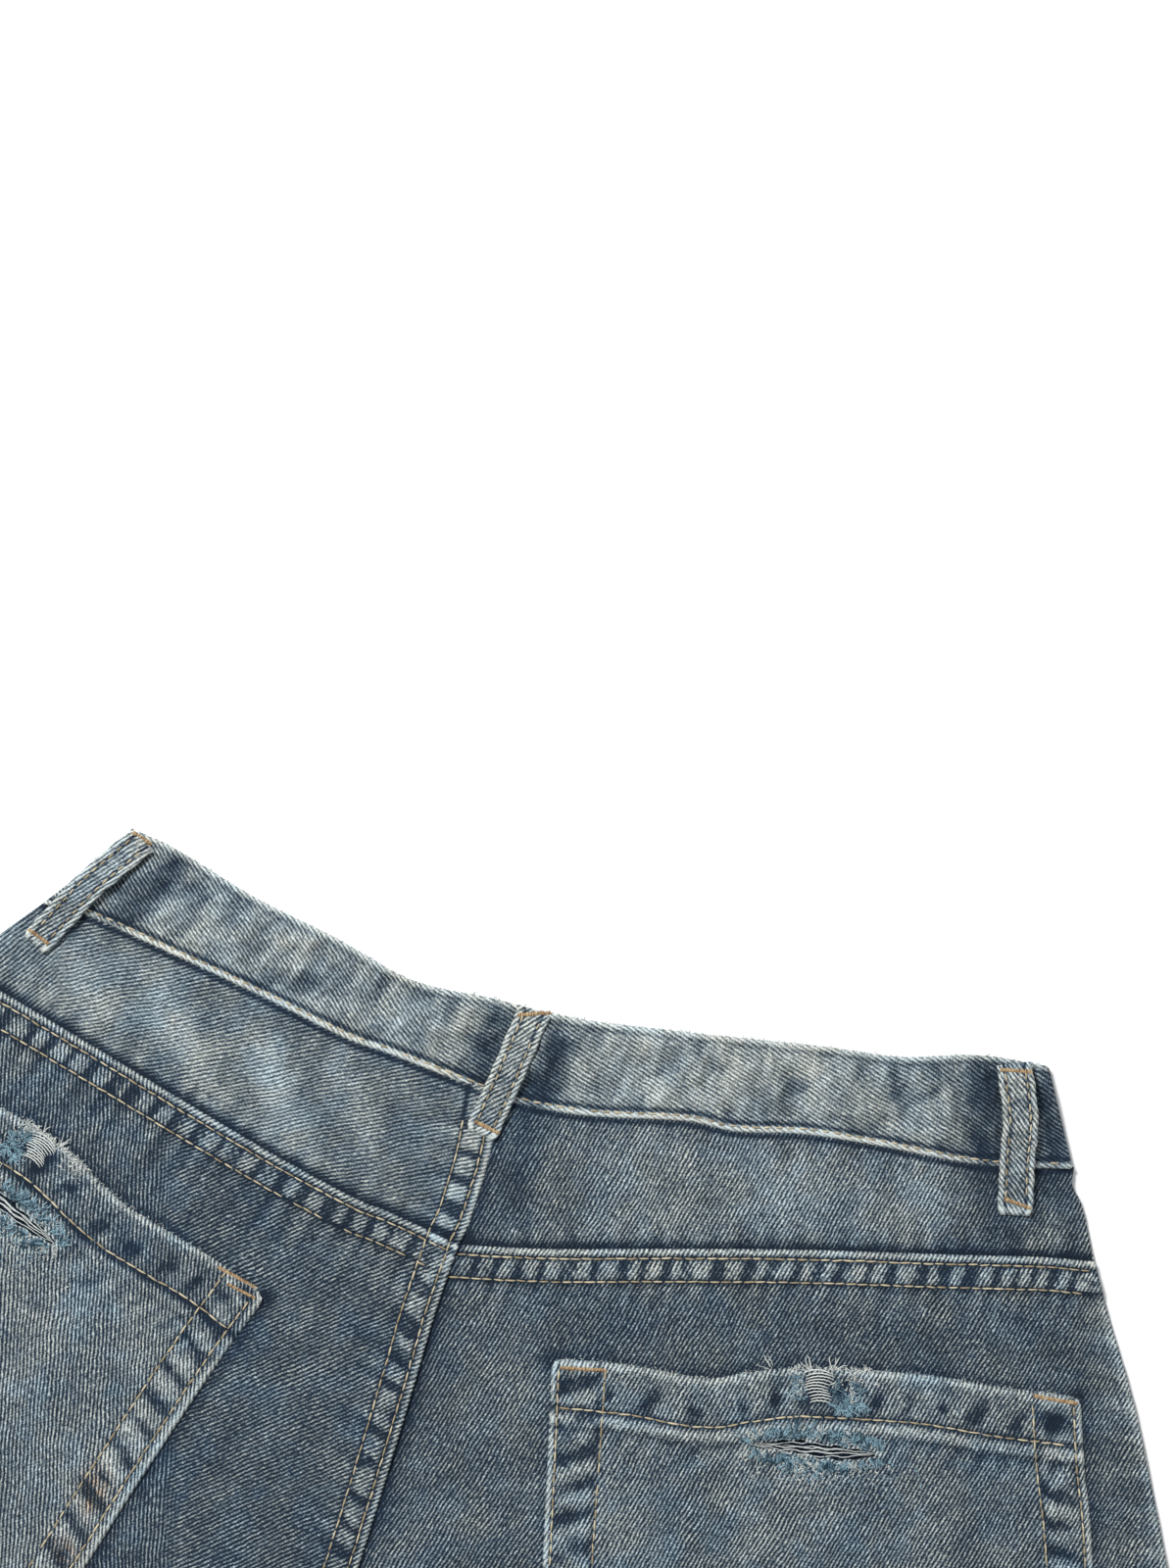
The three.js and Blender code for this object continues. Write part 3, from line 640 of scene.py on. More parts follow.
# the blue fluff runs from navy, which is painted shade among the fibres, to the fibres' own pale blue
blue_fluff = plain("indigo_fluff", (0.018, 0.055, 0.09), (0.27, 0.42, 0.49))
pale_fluff = plain("pale_fluff", (0.36, 0.4, 0.4), (0.68, 0.7, 0.66))
brass = plain("aged_brass", (0.3, 0.18, 0.07), (0.45, 0.3, 0.14), 0.38, 1.0, 0.5)

# %% [markdown]
# ## Thread
# A lockstitch shows as a row of short dashes, each a thread that dives at both ends. One dash is a bent bar
# with a round section, so it is made once as a small template and placed along a line by its length; a bar
# tack is the same dash laid side by side as a dense satin. Curves with an array modifier would slide and
# stretch, and the dashes need their own small faults.

# %% Stitches and yarns as joined tubes
def tubes(paths, radius, sides=5, taper=0.55):
    """Round bars along many paths (N paths of M points each), as points and faces, and points a bar."""
    n, m = paths.shape[:2]
    radius = np.broadcast_to(np.asarray(radius, float), (n,))
    t = np.gradient(paths, axis=1)
    t /= np.linalg.norm(t, axis=-1, keepdims=True) + 1e-9
    up = np.zeros_like(t)
    up[..., 2] = 1
    steep = np.abs(t[..., 2]) > 0.95
    up[steep] = (1, 0, 0)
    side = np.cross(t, up)
    side /= np.linalg.norm(side, axis=-1, keepdims=True)
    top = np.cross(side, t)
    ends = np.linspace(-1, 1, m)
    thick = 1 - (1 - taper) * np.abs(ends) ** 4
    a = np.linspace(0, 2 * math.pi, sides, endpoint=False)
    r = (radius[:, None] * thick)[:, :, None, None]
    ring = np.cos(a)[:, None] * side[:, :, None] + np.sin(a)[:, None] * top[:, :, None]
    verts = (paths[:, :, None] + r * ring).reshape(-1, 3)
    k, i, j = np.meshgrid(np.arange(n), np.arange(m - 1), np.arange(sides), indexing="ij")
    base, nxt = (k * m + i) * sides, (j + 1) % sides
    faces = np.stack([base + j, base + nxt, base + sides + nxt, base + sides + j], -1).reshape(-1, 4)
    caps = []
    if sides == 4:
        first = np.arange(n) * m * sides
        caps = [np.stack([first + q for q in (3, 2, 1, 0)], -1),
                np.stack([first + (m - 1) * sides + q for q in range(4)], -1)]
    return verts, np.vstack([faces, *caps]) if len(caps) else faces, m * sides


class Ground:
    """The cloth below, asked for its height and its slope at points of the drawing."""

    def __init__(self, *objects):
        points, polygons = [], []
        for obj in objects:
            offset = len(points)
            points += [obj.matrix_world @ v.co for v in obj.data.vertices]
            polygons += [[offset + i for i in p.vertices] for p in obj.data.polygons]
        self.tree = BVHTree.FromPolygons(points, polygons)

    def height(self, xy):
        """Heights in millimetres, or none where no cloth lies below."""
        heights = []
        for x, y in to_frame(np.asarray(xy).reshape(-1, 2)):
            hit = self.tree.ray_cast(Vector((x, y, 0.2)), Vector((0, 0, -1)))[0]
            heights.append(hit.z * 1000 if hit else math.nan)
        return np.array(heights).reshape(np.shape(xy)[:-1])


WORN_AWAY = 0.02  # share of the stitches that are gone
SIT = 0.14  # millimetres that a dash's ends stand higher than in the cloth
TACK_PITCH, TACK_LIFT, TACK_RADIUS = 0.5, 0.25, 0.27


class Sewing:
    """Dashes and tacks gathered for one joined mesh."""

    def __init__(self, seed=1):
        self.verts, self.faces, self.shade, self.count = [], [], [], 0
        self.draw = np.random.default_rng(seed)

    def add(self, verts, faces, shade):
        self.faces.append(faces + self.count)
        self.verts.append(verts)
        self.shade.append(shade)
        self.count += len(verts)

    def row(self, line, ground, pitch=4.3, dash=3.95, radius=0.345, start=0.0, end=1.0):
        """Dashes along a line, sitting in the cloth, with small faults and a few worn away."""
        first, last = start * line.length, end * line.length
        s = np.arange(first + pitch / 2, last - dash / 2, pitch)
        s = s[self.draw.random(len(s)) > WORN_AWAY]
        if not len(s):
            return
        s = s + self.draw.normal(0, 0.12, len(s))
        size = dash * self.draw.uniform(0.86, 1.1, len(s))
        u = np.linspace(-0.5, 0.5, 5)
        along = (s[:, None] + size[:, None] * u) / line.length
        xy = line.at(along)
        across = line.left(along)
        skew = self.draw.normal(0, 0.09, (len(s), 1)) * np.sign(u) * np.abs(u) * 2
        xy = xy + (skew + self.draw.normal(0, 0.06, (len(s), 1)))[..., None] * across
        z = ground.height(xy)
        z = np.where(np.isnan(z), np.nanmean(z, axis=1, keepdims=True), z)
        keep = ~np.isnan(z).any(1)
        lift = radius * np.array([-1.1, 0.45, 0.8, 0.45, -1.1]) + SIT
        path = raised(xy, z + lift)[keep]
        verts, faces, each = tubes(path, radius * self.draw.uniform(0.85, 1.12, len(path)), 6, 0.6)
        self.add(verts, faces, np.repeat(self.draw.uniform(0.15, 0.85, len(path)), each))

    def tack(self, start, end, width, ground):
        """A dense bar tack from start to end: short threads across its length."""
        start, end = np.array(start, float), np.array(end, float)
        length = np.linalg.norm(end - start)
        way = (end - start) / length
        side = np.array([-way[1], way[0]])
        count = int(length / TACK_PITCH)
        s = (np.arange(count) + 0.5) / count * length + self.draw.normal(0, 0.07, count)
        half = width / 2 * self.draw.uniform(0.82, 1.12, count)
        lean = self.draw.normal(0, 0.12, count)
        u = np.linspace(-1, 1, 5)
        xy = (start + s[:, None, None] * way + (half[:, None] * u)[..., None] * side
              + (lean[:, None] * u)[..., None] * way)
        z = ground.height(xy)
        z = np.where(np.isnan(z), np.nanmean(z), z)
        z = z * 0.4 + z.mean(1, keepdims=True) * 0.6 + TACK_LIFT * np.array([-0.9, 0.7, 1.1, 0.7, -0.9])
        thick = TACK_RADIUS * self.draw.uniform(0.85, 1.15, count)
        verts, faces, each = tubes(raised(xy, z), thick, 5, 0.7)
        self.add(verts, faces, np.repeat(self.draw.uniform(0.1, 0.9, count), each))

    def strands(self, paths, radius, shade=None, sides=4, taper=0.5):
        """Yarns or fibres along ready paths."""
        verts, faces, each = tubes(paths, radius, sides, taper)
        shade = self.draw.uniform(0.1, 1.0, len(paths)) if shade is None else shade
        self.add(verts, faces, np.repeat(shade, each))

    def object(self, name, material):
        shade = {"shade": np.concatenate(self.shade)}
        return mesh_object(name, np.vstack(self.verts), np.vstack(self.faces), material, shade)


def curls(draw, roots, z, length, spread=1.0, rise=0.6, points=6, aim=None, stray=0.75):
    """Short curly fibres from their roots: each wanders, rises a little and comes down again."""
    n = len(roots)
    angle = draw.uniform(0, 2 * math.pi, n) if aim is None else aim + draw.normal(0, stray, n)
    bend = draw.normal(0, spread, (n, 1))
    bend = bend + np.cumsum(draw.normal(0, 0.5 * spread, (n, points)), axis=1)
    heading = angle[:, None] + bend * np.linspace(0, 1, points)
    size = (length * draw.uniform(0.4, 1.3, n) / points)[:, None]
    x = roots[:, :1] + np.cumsum(np.cos(heading) * size, axis=1)
    y = roots[:, 1:] + np.cumsum(np.sin(heading) * size, axis=1)
    up = rise * draw.uniform(0.1, 1.0, (n, 1)) * np.sin(np.linspace(0, math.pi * 0.85, points))
    return np.stack([x, y, np.broadcast_to(np.asarray(z).reshape(-1, 1), x.shape) + up], -1)


# %% [markdown]
# ## The front, which lies face down
# The two fronts are nearly flat on the floor and seen only from below, where their cut is finished in the
# same cloth with soft creases of its own. They are wide open sheets, joined at the centre-front seam, and
# their side edges turn up to meet the back's.

# %% Front panels
def floor_of(p, z):
    """Rounds a sheet that lies on the floor up into the outline's roll."""
    d = to_outline(p)
    return z + EDGE - edge_round(d)


def part(line, start, end):
    """The stretch of a line between two shares of its length."""
    return Line(line.at(np.linspace(start, end, 90)), smooth=False)


def leg_steps(length, fine, seen, coarse, **more):
    """Even steps: fine where the leg is looked at closely, then coarser down the leg."""
    s = steps(seen, fine, **more)
    rest = np.arange(seen, length, coarse)[1:]
    s = np.concatenate([s, rest[rest < length - coarse / 2], [length]])
    return s


# Each soft crease starts at one of these points of the left front; the right front mirrors them.
FRONT_CREASES = [(-60, -20), (-140, -230), (-180, -420), (-300, -470), (-330, -600), (-480, -700),
                 (-80, -300), (-560, -790), (-250, -120)]


def front_panel(name, top, hem, left, right, mirror):
    p = fill(top, hem, left, right, np.linspace(0, 1, 74), np.linspace(0, 1, 190))
    cloth = Cloth(p, floor_of(p, front_bottom(p)) + 0.12 * (drift(p, 60, 3 + mirror) + 1.6))
    for start in np.array(FRONT_CREASES, float):
        if mirror:
            start = start * (-0.55, 1.25) + (40, 0)
        cloth.fold(start, start + ((95, -30) if mirror else (-60, -35)), 0.5, 16)
    for line in (left, right):
        cloth.worn += 0.35 * bell(near(p, line)[0] - 1, 1.6)
    d, s = near(p, hem)
    rope = wobble(s, 9, 4)
    cloth.z += 0.6 * (1 - smooth(d, HEM - 0.5, HEM + 1.5))
    # painted shade along the hem's edge, just past its stitches
    cloth.dark += 0.4 * bell(d - HEM - 1, 1.2) * (0.6 + 0.4 * rope)
    cloth.worn += 0.5 * bell(d - 0.8, 1.6) + 0.3 * np.maximum(0, rope) * (1 - smooth(d, 12, 14))
    cloth.z = np.maximum(cloth.z, 0)
    return cloth.object(name, front_cloth)


whole_side_left, whole_side_right = join(side_yoke_left, side_left), join(side_yoke_right, side_right)
front_panel_left = front_panel("front_panel_left", part(front_low, 0, front_share), hem_left,
                               whole_side_left, join(front_seam, inseam_left), 0)
front_panel_right = front_panel("front_panel_right", part(front_low, front_share, 1), hem_right,
                                join(front_seam, inseam_right), whole_side_right, 1)
print("front panels", len(front_panel_left.data.polygons), len(front_panel_right.data.polygons), "faces")

# %% [markdown]
# ## Yokes
# The yoke is a thin wedge between the waistband and the seat. Both its long edges slip under a felled seam,
# so it is the lowest cloth at each, and those channels are painted dark: painted shade, with some indigo that
# never faded. The left one has long soft ripples, where the belt has been pulled.

# %% Yokes
YOKE_STEP = 0.85


def yoke(top, bottom, left, right, seed):
    """A yoke's grid, sunk where the band and the back panel lap over it, and painted with shade there."""
    width, deep = max(top.length, bottom.length), max(left.length, right.length)
    us = steps(width, YOKE_STEP) / width
    vs = steps(deep + 6, YOKE_STEP) / deep - 3 / deep
    p = fill(top, bottom, left, right, us, vs)
    cloth = Cloth(p, back_top(p))
    # painted shade where the band and the back panel lap over the yoke
    for line, depth, reach in ((band_low, 0.1, 0.9), (bottom, 0.9, 2.4)):
        d = near(p, line)[0]
        cloth.z -= depth * np.exp(-d / 3.2)
        cloth.dark += 1.2 * bell(d, reach) + 0.1 * bell(d, 5)
    cloth.z += 0.22 * drift(p, 11, 21 + seed) + 0.35 * drift(p, 30, 23 + seed)
    cloth.worn += 0.12 * drift(p, 14, 25 + seed)
    d, s = near(p, band_low)
    cloth.dark += 0.2 * np.maximum(0, wobble(s, 13, 31 + seed)) * bell(d - 5, 6)
    d, s = near(p, bottom)
    rung = wobble(s, 10, 33 + seed) * bell(d - 4, 6)
    cloth.z += 0.35 * rung
    cloth.worn += 0.16 * rung
    return cloth


cloth = yoke(band_low_right, yoke_seam_right, seat_yoke, side_yoke_right, 0)
for x, width in ((12, 9), (36, 7), (64, 12), (92, 8), (121, 10), (150, 8), (172, 7)):
    cloth.fold((x, -46), (x + 8, -88), -0.45 if width > 8 else 0.4, width)
# painted shade beside the seat seam, where the left side laps over
cloth.halo(whole_seat, 4, 0.6)
cloth.halo(whole_seat, 13, 0.22)
# painted shade beside the centre loop's foot, on both sides of the right loop's foot and along the side fold
for shaded in (((2, -44), (-6, -70), 7, 0.55), ((177, -62), (182, -84), 8, 0.7),
               ((195, -62), (193, -80), 5, 0.6), ((168, -62), (165, -92), 9, 0.3),
               ((203, -62), (203, -92), 8, 0.3)):
    cloth.shade(*shaded)
cloth.rub((60, -68), (140, -70), 26, 0.12)
cloth.rub((190, -75), (192, -84), 9, 0.18)
back_yoke_right = cloth.object("back_yoke_right", yoke_right_cloth)

cloth = yoke(band_low_left, yoke_seam_left, side_yoke_left, seat_yoke, 1)
for start, end, height, width in (
        ((-176, 24), (-160, -12), 0.9, 7), ((-158, 16), (-140, -24), -0.9, 6),
        ((-142, 12), (-120, -34), 1.2, 7), ((-124, 4), (-103, -44), -1.1, 6),
        ((-106, -2), (-86, -54), 1.2, 8), ((-88, -10), (-70, -62), -1.1, 6),
        ((-70, -20), (-54, -68), 1.1, 7), ((-54, -28), (-42, -72), -0.9, 5)):
    cloth.fold(start, end, height, width, 1.2)
cloth.turned = 1 - smooth(cloth.p[..., 0], -205, -150)
cloth.felled(seat_yoke, *SEAT_ROWS, seed=71, pitch=11, share=0.95)
cloth.rub((-160, 5), (-90, -35), 20, 0.15)
back_yoke_left = cloth.object("back_yoke_left", yoke_left_cloth)
print("yokes", len(back_yoke_right.data.polygons), len(back_yoke_left.data.polygons), "faces")

# %% [markdown]
# ## Back panels
# The seat and leg of each side are one sheet. Its top edge is folded under and laps over the yoke, and the
# left sheet laps over the right down the seat. Where the leg is looked at closely the grid is fine, and it
# opens out down the leg, where only soft creases have to be carried.

# %% Back panels
LEG_FOLDS = [
    ((-340, -330), (-230, -420), 1.2, 26), ((-470, -470), (-350, -560), 1.1, 26),
    ((-560, -640), (-450, -690), 1.2, 24), ((-60, -400), (120, -470), 1.2, 28),
    ((200, -560), (30, -650), 1.1, 26), ((-40, -780), (120, -830), 1.2, 24),
    ((-140, -365), (-280, -345), 1.4, 11), ((-118, -345), (-215, -300), 1.2, 9),
    ((-150, -395), (-300, -430), 1.1, 13), ((-90, -360), (20, -400), 1.4, 11),
    ((-92, -340), (0, -350), 1.1, 8), ((-96, -410), (60, -520), 1.0, 14),
    ((-420, -300), (-330, -470), 0.9, 20), ((-300, -560), (-470, -520), 1.3, 15),
    ((-330, -600), (-520, -580), 1.1, 17), ((-390, -700), (-560, -690), 1.2, 15),
    ((-660, -700), (-560, -800), 1.0, 18), ((-85, -640), (90, -600), 1.3, 16),
    ((-82, -690), (120, -700), 1.2, 15), ((230, -690), (90, -740), 1.1, 17),
    ((-75, -900), (80, -905), 1.3, 14), ((190, -920), (70, -960), 1.1, 15),
    ((-72, -985), (60, -990), 1.0, 12), ((-520, -860), (-620, -790), 1.2, 14),
    ((245, -420), (140, -380), 1.1, 18), ((-180, -470), (-380, -640), -0.8, 16),
    ((10, -560), (20, -860), -0.7, 22), ((-430, -420), (-560, -620), -0.7, 20),
]


PANEL_STEP, LEG_STEP = 1.15, 8.0
KNEE_WEAR = [Line([(70, -440), (110, -640)]), Line([(-330, -430), (-450, -640)])]


def back_panel(top, hem, left, right, side, seen, inseam, outseam):
    """Seat and leg of one side; its grid is fine down to seen millimetres."""
    width, deep = max(top.length, 240), max(left.length, right.length)
    us = steps(width, PANEL_STEP, first=True, last=True, grooves=SEAT_ROWS[:1]) / width
    vs = leg_steps(deep, PANEL_STEP, seen, LEG_STEP, first=True, grooves=(3.5, 12.5)) / deep
    p = fill(top, hem, left, right, us, vs)
    cloth = Cloth(p, back_top(p))
    upper = bell(np.maximum(0, near(p, top)[0] - 130), 60)
    cloth.z += 0.3 * drift(p, 16, 41 + side) * upper + 0.55 * drift(p, 70, 43 + side)
    for fold in LEG_FOLDS:
        cloth.fold(*fold)
    cloth.worn += 0.1 * drift(p, 20, 45 + side)
    cloth.dark += 0.12
    for seam, gap in ((inseam, 4), (outseam, 6)):
        d, s = near(p, seam)
        rung = wobble(s + 0.5 * d, 13, 47 + side) * bell(d - gap, 8)
        cloth.z += 0.3 * rung
        cloth.worn += 0.25 * np.maximum(0, rung) + 0.35 * bell(d - 1.2, 1.8)
    d, s = near(p, hem)
    inner = 1 - smooth(d, HEM - 0.5, HEM + 1.5)
    rope = wobble(s + 0.8 * d, 8, 49 + side)
    cloth.z += (0.8 + 0.3 * rope) * inner
    cloth.worn += inner * 0.35 * np.maximum(0, rope) + 0.6 * bell(d - 0.8, 1.6)
    # painted shade along the hem's edge, just past its stitches; the rope's troughs keep more indigo
    cloth.dark += 0.5 * bell(d - 14.6, 1.3) + inner * 0.3 * np.maximum(0, -rope)
    for knee in KNEE_WEAR:
        cloth.worn += 0.3 * bell(near(p, knee)[0], 60) * (1 + 0.4 * drift(p, 30, 52))
    return cloth


cloth = back_panel(yoke_seam_right, hem_right, back_edge_right, side_right, 0, 132, inseam_right, side_right)
cloth.felled(yoke_seam_right, *YOKE_ROWS, slant=0.3, seed=61)
cloth.tuck(seat_seam, 0.9, 2.5)
# painted shade beside the left panel's lap down the seat and round the pocket's edges, with some indigo that
# never faded
cloth.halo(seat_seam, 2.6, 0.85)
cloth.halo(seat_seam, 8, 0.28)
for key, amount in (("top", 0.55), ("left", 0.25), ("right", 0.5)):
    cloth.halo(pocket_right[key], 3.2, amount)
# a painted shadow in the gap under the rip, and painted shade above the pocket's mouth
cloth.shade((87, -165.2), (129, -168.2), 7, 1.7)
cloth.shade((15, -118), (200, -126), 12, 0.16)
cloth.rub((226, -110), (236, -160), 8, 0.2)
back_panel_right = cloth.object("back_panel_right", body_right)

cloth = back_panel(yoke_seam_left, hem_left, side_left, back_edge_left, 1, 178, inseam_left, side_left)
cloth.felled(yoke_seam_left, *YOKE_ROWS, slant=0.1, seed=65, fade=15)
cloth.felled(seat_seam, *SEAT_ROWS, slant=0.3, seed=67, pitch=12, share=0.9)
crossing = spot(cloth.p, -34, -97, 8)
cloth.dark *= 1 - 0.75 * crossing
cloth.worn += 0.12 * crossing
# painted shade round the pocket's edges, and a painted shadow in the gap under the rip
for key, amount in (("top", 0.55), ("right", 0.65), ("left", 0.5)):
    cloth.halo(pocket_left[key], 3.4, amount)
cloth.shade((-216, -60), (-181, -88), 7, 1.7)
cloth.turned = 1 - smooth(cloth.p[..., 0], -165, -110)
back_panel_left = cloth.object("back_panel_left", body_left)
print("back panels", len(back_panel_right.data.polygons), len(back_panel_left.data.polygons), "faces")

# %% [markdown]
# ## Waistband
# The band is a strip folded double and sewn shut, so it is thicker and stiffer than the rest and it has a
# rounded fold along its top. It runs right round the waist: across the back, over each side and along the
# front, where its ends lap over the button. A closed loop of cross-sections carries both faces.

# %% Waistband
TURN = (BAND + LAYER_GAP) / 2  # radius at which the band goes round a side
LAP_SHARE, UNDER_SHARE, SIDE_SHARE = 0.05, 0.06, 0.05


def band_stations():
    """Low point, top point, height, outside direction and tilt of every cross-section of the strip."""
    rows = []

    def front(shares, left):
        for t in shares:
            low = front_low.at(t)
            past = 1 - smooth(t, front_share + LAP_SHARE + 0.02, front_share + LAP_SHARE + 0.12)
            raised = 0 if left else past * (BAND + LAYER_GAP)
            rows.append((low, front_top.at(t), band_middle(low[0]) + raised, (1.0, 0.0), -math.pi / 2))

    def round_side(low_line, top_line, end, angles):
        inset = 2 * TURN - LAYER_GAP / 2
        back = [abs(end - inset / line.length) for line in (low_line, top_line)]
        corner, inner = (np.array([line.at(t) for line, t in zip((low_line, top_line), ts)])
                         for ts in ((end, end), back))
        way = (corner[0] - inner[0]) / np.linalg.norm(corner[0] - inner[0])
        for a in angles:
            low, top = inner + (corner - inner) * TURN * math.cos(a) / inset
            rows.append((low, top, BAND / 2 + TURN + TURN * math.sin(a), way, a))

    front(np.linspace(front_share + LAP_SHARE, SIDE_SHARE, 56), left=True)
    round_side(band_low_left, band_top_left, 0, np.linspace(-math.pi / 2, math.pi / 2, 12))
    for low_line, top_line, ends in ((band_low_left, band_top_left, (0.012, 1)),
                                     (band_low_right, band_top_right, (0, 0.985))):
        for t in np.arange(*ends, 0.75 / low_line.length):
            low = low_line.at(t)
            rows.append((low, top_line.at(t), band_back_middle(low[0]), (1.0, 0.0), math.pi / 2))
    round_side(band_low_right, band_top_right, 1, np.linspace(math.pi / 2, -math.pi / 2, 12))
    front(np.linspace(1 - SIDE_SHARE, front_share - UNDER_SHARE, 70), left=False)
    return [np.array(column, float) for column in zip(*rows)]


low, top, middle, outside, tilt = band_stations()
depth = np.linalg.norm(top - low, axis=1)[:, None]
run = np.concatenate([[0], np.cumsum(np.linalg.norm(np.diff((low + top) / 2, axis=0), axis=1))])
outer = np.unique(np.concatenate([np.arange(0, BAND_HEIGHT, 0.8), EDGE_STEPS, BAND_HEIGHT - EDGE_STEPS,
                                  3.2 + np.array([-0.4, 0.4])]))
outer = outer[(outer >= 0) & (outer <= BAND_HEIGHT)]
outer = outer[np.concatenate([[True], np.diff(outer) > 0.1])] / BAND_HEIGHT
inner = np.linspace(1, 0, 16)[1:-1]
drawn = 1.2 / depth
share_up = np.concatenate([outer, inner])[None, :]
share_up = drawn * (1 - share_up) + share_up
sign = np.concatenate([np.ones(len(outer)), -np.ones(len(inner))])[None, :]
from_low, from_top = (share_up - drawn) * depth, (1 - share_up) * depth
to_edge = np.minimum(from_low, from_top)
thick = BAND / 2 * rounded(to_edge, BAND / 2)
ends = np.minimum(run, run[-1] - run)[:, None]
thick *= 0.1 + 0.9 * rounded(ends, BAND / 2)
plan = low[:, None] * (1 - share_up[..., None]) + top[:, None] * share_up[..., None]
plan = plan + (sign * thick * np.cos(tilt)[:, None])[..., None] * outside[:, None]
band = Cloth(plan, middle[:, None] + sign * thick * np.sin(tilt)[:, None])
print("strip", band.z.shape, "points,", round(run[-1]), "mm round")

# %% [markdown]
# The band's wear is what makes it look sewn: its top fold is rubbed into small pale teeth, its lower edge
# into a white line, and between them the two layers have shrunk by different amounts in the wash, so the
# outer one crumples. Only the strip's upper side on the back is given this relief.

# %% The band's puckers and wear
tooth = 1 - 2 * np.abs((run / 1.9 + 0.4 * wobble(run, 7, 95)) % 1 - 0.5)
tooth = 0.75 * (tooth - 0.5) * (0.5 + 0.5 * wobble(run, 3, 96))
edge_way = (top - low) / depth
plan += tooth[:, None, None] * bell(from_top, 0.9)[..., None] * edge_way[:, None]
up_side = (sign > 0) * np.maximum(0, np.sin(tilt))[:, None]
s = run[:, None] + 0 * from_low
ripple = wobble(s + 0.25 * from_low, 14, 81) + 0.45 * wobble(s - 0.2 * from_low, 6.5, 82)
body = smooth(from_low, 2, 9) * smooth(from_top, 1, 6)
crumple = drift(plan, 8.5, 84, 2) + 0.6 * drift(plan, 14, 91, 2)
band.z += up_side * (0.6 * ripple * body + 0.6 * drift(plan, 26, 83) * body + 1.15 * crumple * body)
# painted light on the crumples' tops and painted shade in their troughs
band.worn += 0.1 * crumple * body
band.dark += 0.35 * smooth(-crumple, 0.45, 1.2) * body
stitched = bell(from_low - 3.6, 1.1)
puckers = wobble(s + 0.6 * from_low, 7.5, 85)
pucker_row = bell(from_low - 5.5, 3)
band.z += up_side * (-0.45 * stitched + 0.25 * puckers * pucker_row + 0.18 * bell(from_low - 1.2, 1.5))
band.z += up_side * (-0.22 * bell(from_top - 3, 0.6) + 0.2 * wobble(s, 5, 86) * bell(from_top - 4, 3))
band.worn += 0.5 * (1 - smooth(from_low, 2.2, 3.2)) + 0.4 * bell(from_top - 0.4, 1.1)
# the ripples' tops are painted lighter, as light would fall on them; the puckers' tops are rubbed paler
band.worn += 0.1 * ripple * body + 0.12 * np.maximum(0, puckers) * pucker_row
band.worn += 0.1 * drift(plan, 20, 87) + 0.05 * smooth(plan[..., 0], 10, 60)
# painted shade in the grooves of the lower stitch row and of the fold's stitches
band.dark += 1.05 * stitched + 0.28 * bell(from_top - 3, 0.8)
for amount, offset, pitch, seed, gap, reach in ((0.55, 0, 15, 88, from_top - 7, 4.5),
                                                (0.5, 5, 17, 89, from_low - 6, 4.5),
                                                (0.35, 0, 24, 90, from_low - 16, 9)):
    band.dark += amount * np.maximum(0, wobble(s + offset, pitch, seed)) ** 2 * bell(gap, reach)
# painted shade on both sides of the back loops, with indigo that the loops kept from fading
for shaded in (((11, -14), (0, -38), 7, 1.15), ((-9, -7), (-20, -33), 6, 0.9),
               ((173, -28), (175, -58), 9, 1.2), ((196, -30), (198, -56), 6, 1.0),
               ((-136, 52), (-168, 26), 7, 0.9)):
    band.shade(*shaded)
flat_z = band.z.copy()
for start, end, height, width in (
        ((14, -8), (22, -40), 1.3, 3.6), ((25, -10), (29, -38), -1.0, 3.0),
        ((34, -12), (38, -40), 1.2, 3.4), ((46, -10), (43, -38), -0.9, 3.2),
        ((56, -14), (52, -42), 1.1, 4.0), ((70, -16), (66, -42), -0.8, 3.6),
        ((84, -18), (80, -46), 0.9, 4.2), ((104, -20), (98, -46), -0.7, 4.0),
        ((122, -22), (118, -50), 0.8, 4.6), ((140, -24), (138, -52), -0.8, 4.0),
        ((158, -26), (158, -56), 1.0, 4.2), ((-24, 2), (-31, -26), 1.1, 3.6),
        ((-38, 6), (-45, -20), -0.9, 3.4), ((-54, 12), (-60, -16), 1.0, 4.0),
        ((-70, 20), (-76, -8), -0.8, 3.6), ((-86, 28), (-92, 0), 1.0, 4.2),
        ((-104, 36), (-110, 8), -0.8, 4.0), ((-122, 46), (-128, 16), 0.9, 4.4),
        ((30, -22), (60, -28), 0.6, 3.0), ((-60, 6), (-90, 18), 0.6, 3.0)):
    band.fold(start, end, height, width, 0.15)
band.z = flat_z + (band.z - flat_z) * up_side * body
band.turned = smooth(plan[..., 0], -62, -12)
waistband = band.object("waistband", band_cloth, grid_faces(*band.z.shape, around=True))
print("waistband", len(waistband.data.polygons), "faces")

# %% [markdown]
# ## Back pockets
# A patch pocket is a panel with its edges pressed under, a deep hem along its mouth and two rows of stitches
# down its sides. Each of these has been ripped just under the hem: the indigo warp has broken along a slit,
# and the white weft is left lying in it. The cloth is parted along the slit's line before the faces in the
# gap are taken out, so the lips of the rip stay clean-edged under their fluff.

# %% Pockets
POCKET_HEM, HEM_FOLD, POCKET_STEP = 18.6, 25, 0.95  # the hem's stitches and the cut edge below them
RUST = ((-164, -180, 6), (-166, -187, 4), (-177, -205, 5))  # old rust marks beside the left pocket's edge


def lens(a, length):
    """1 at the middle of a slit and 0 at its ends."""
    return np.clip(1 - (2 * a / length) ** 2, 0, 1)


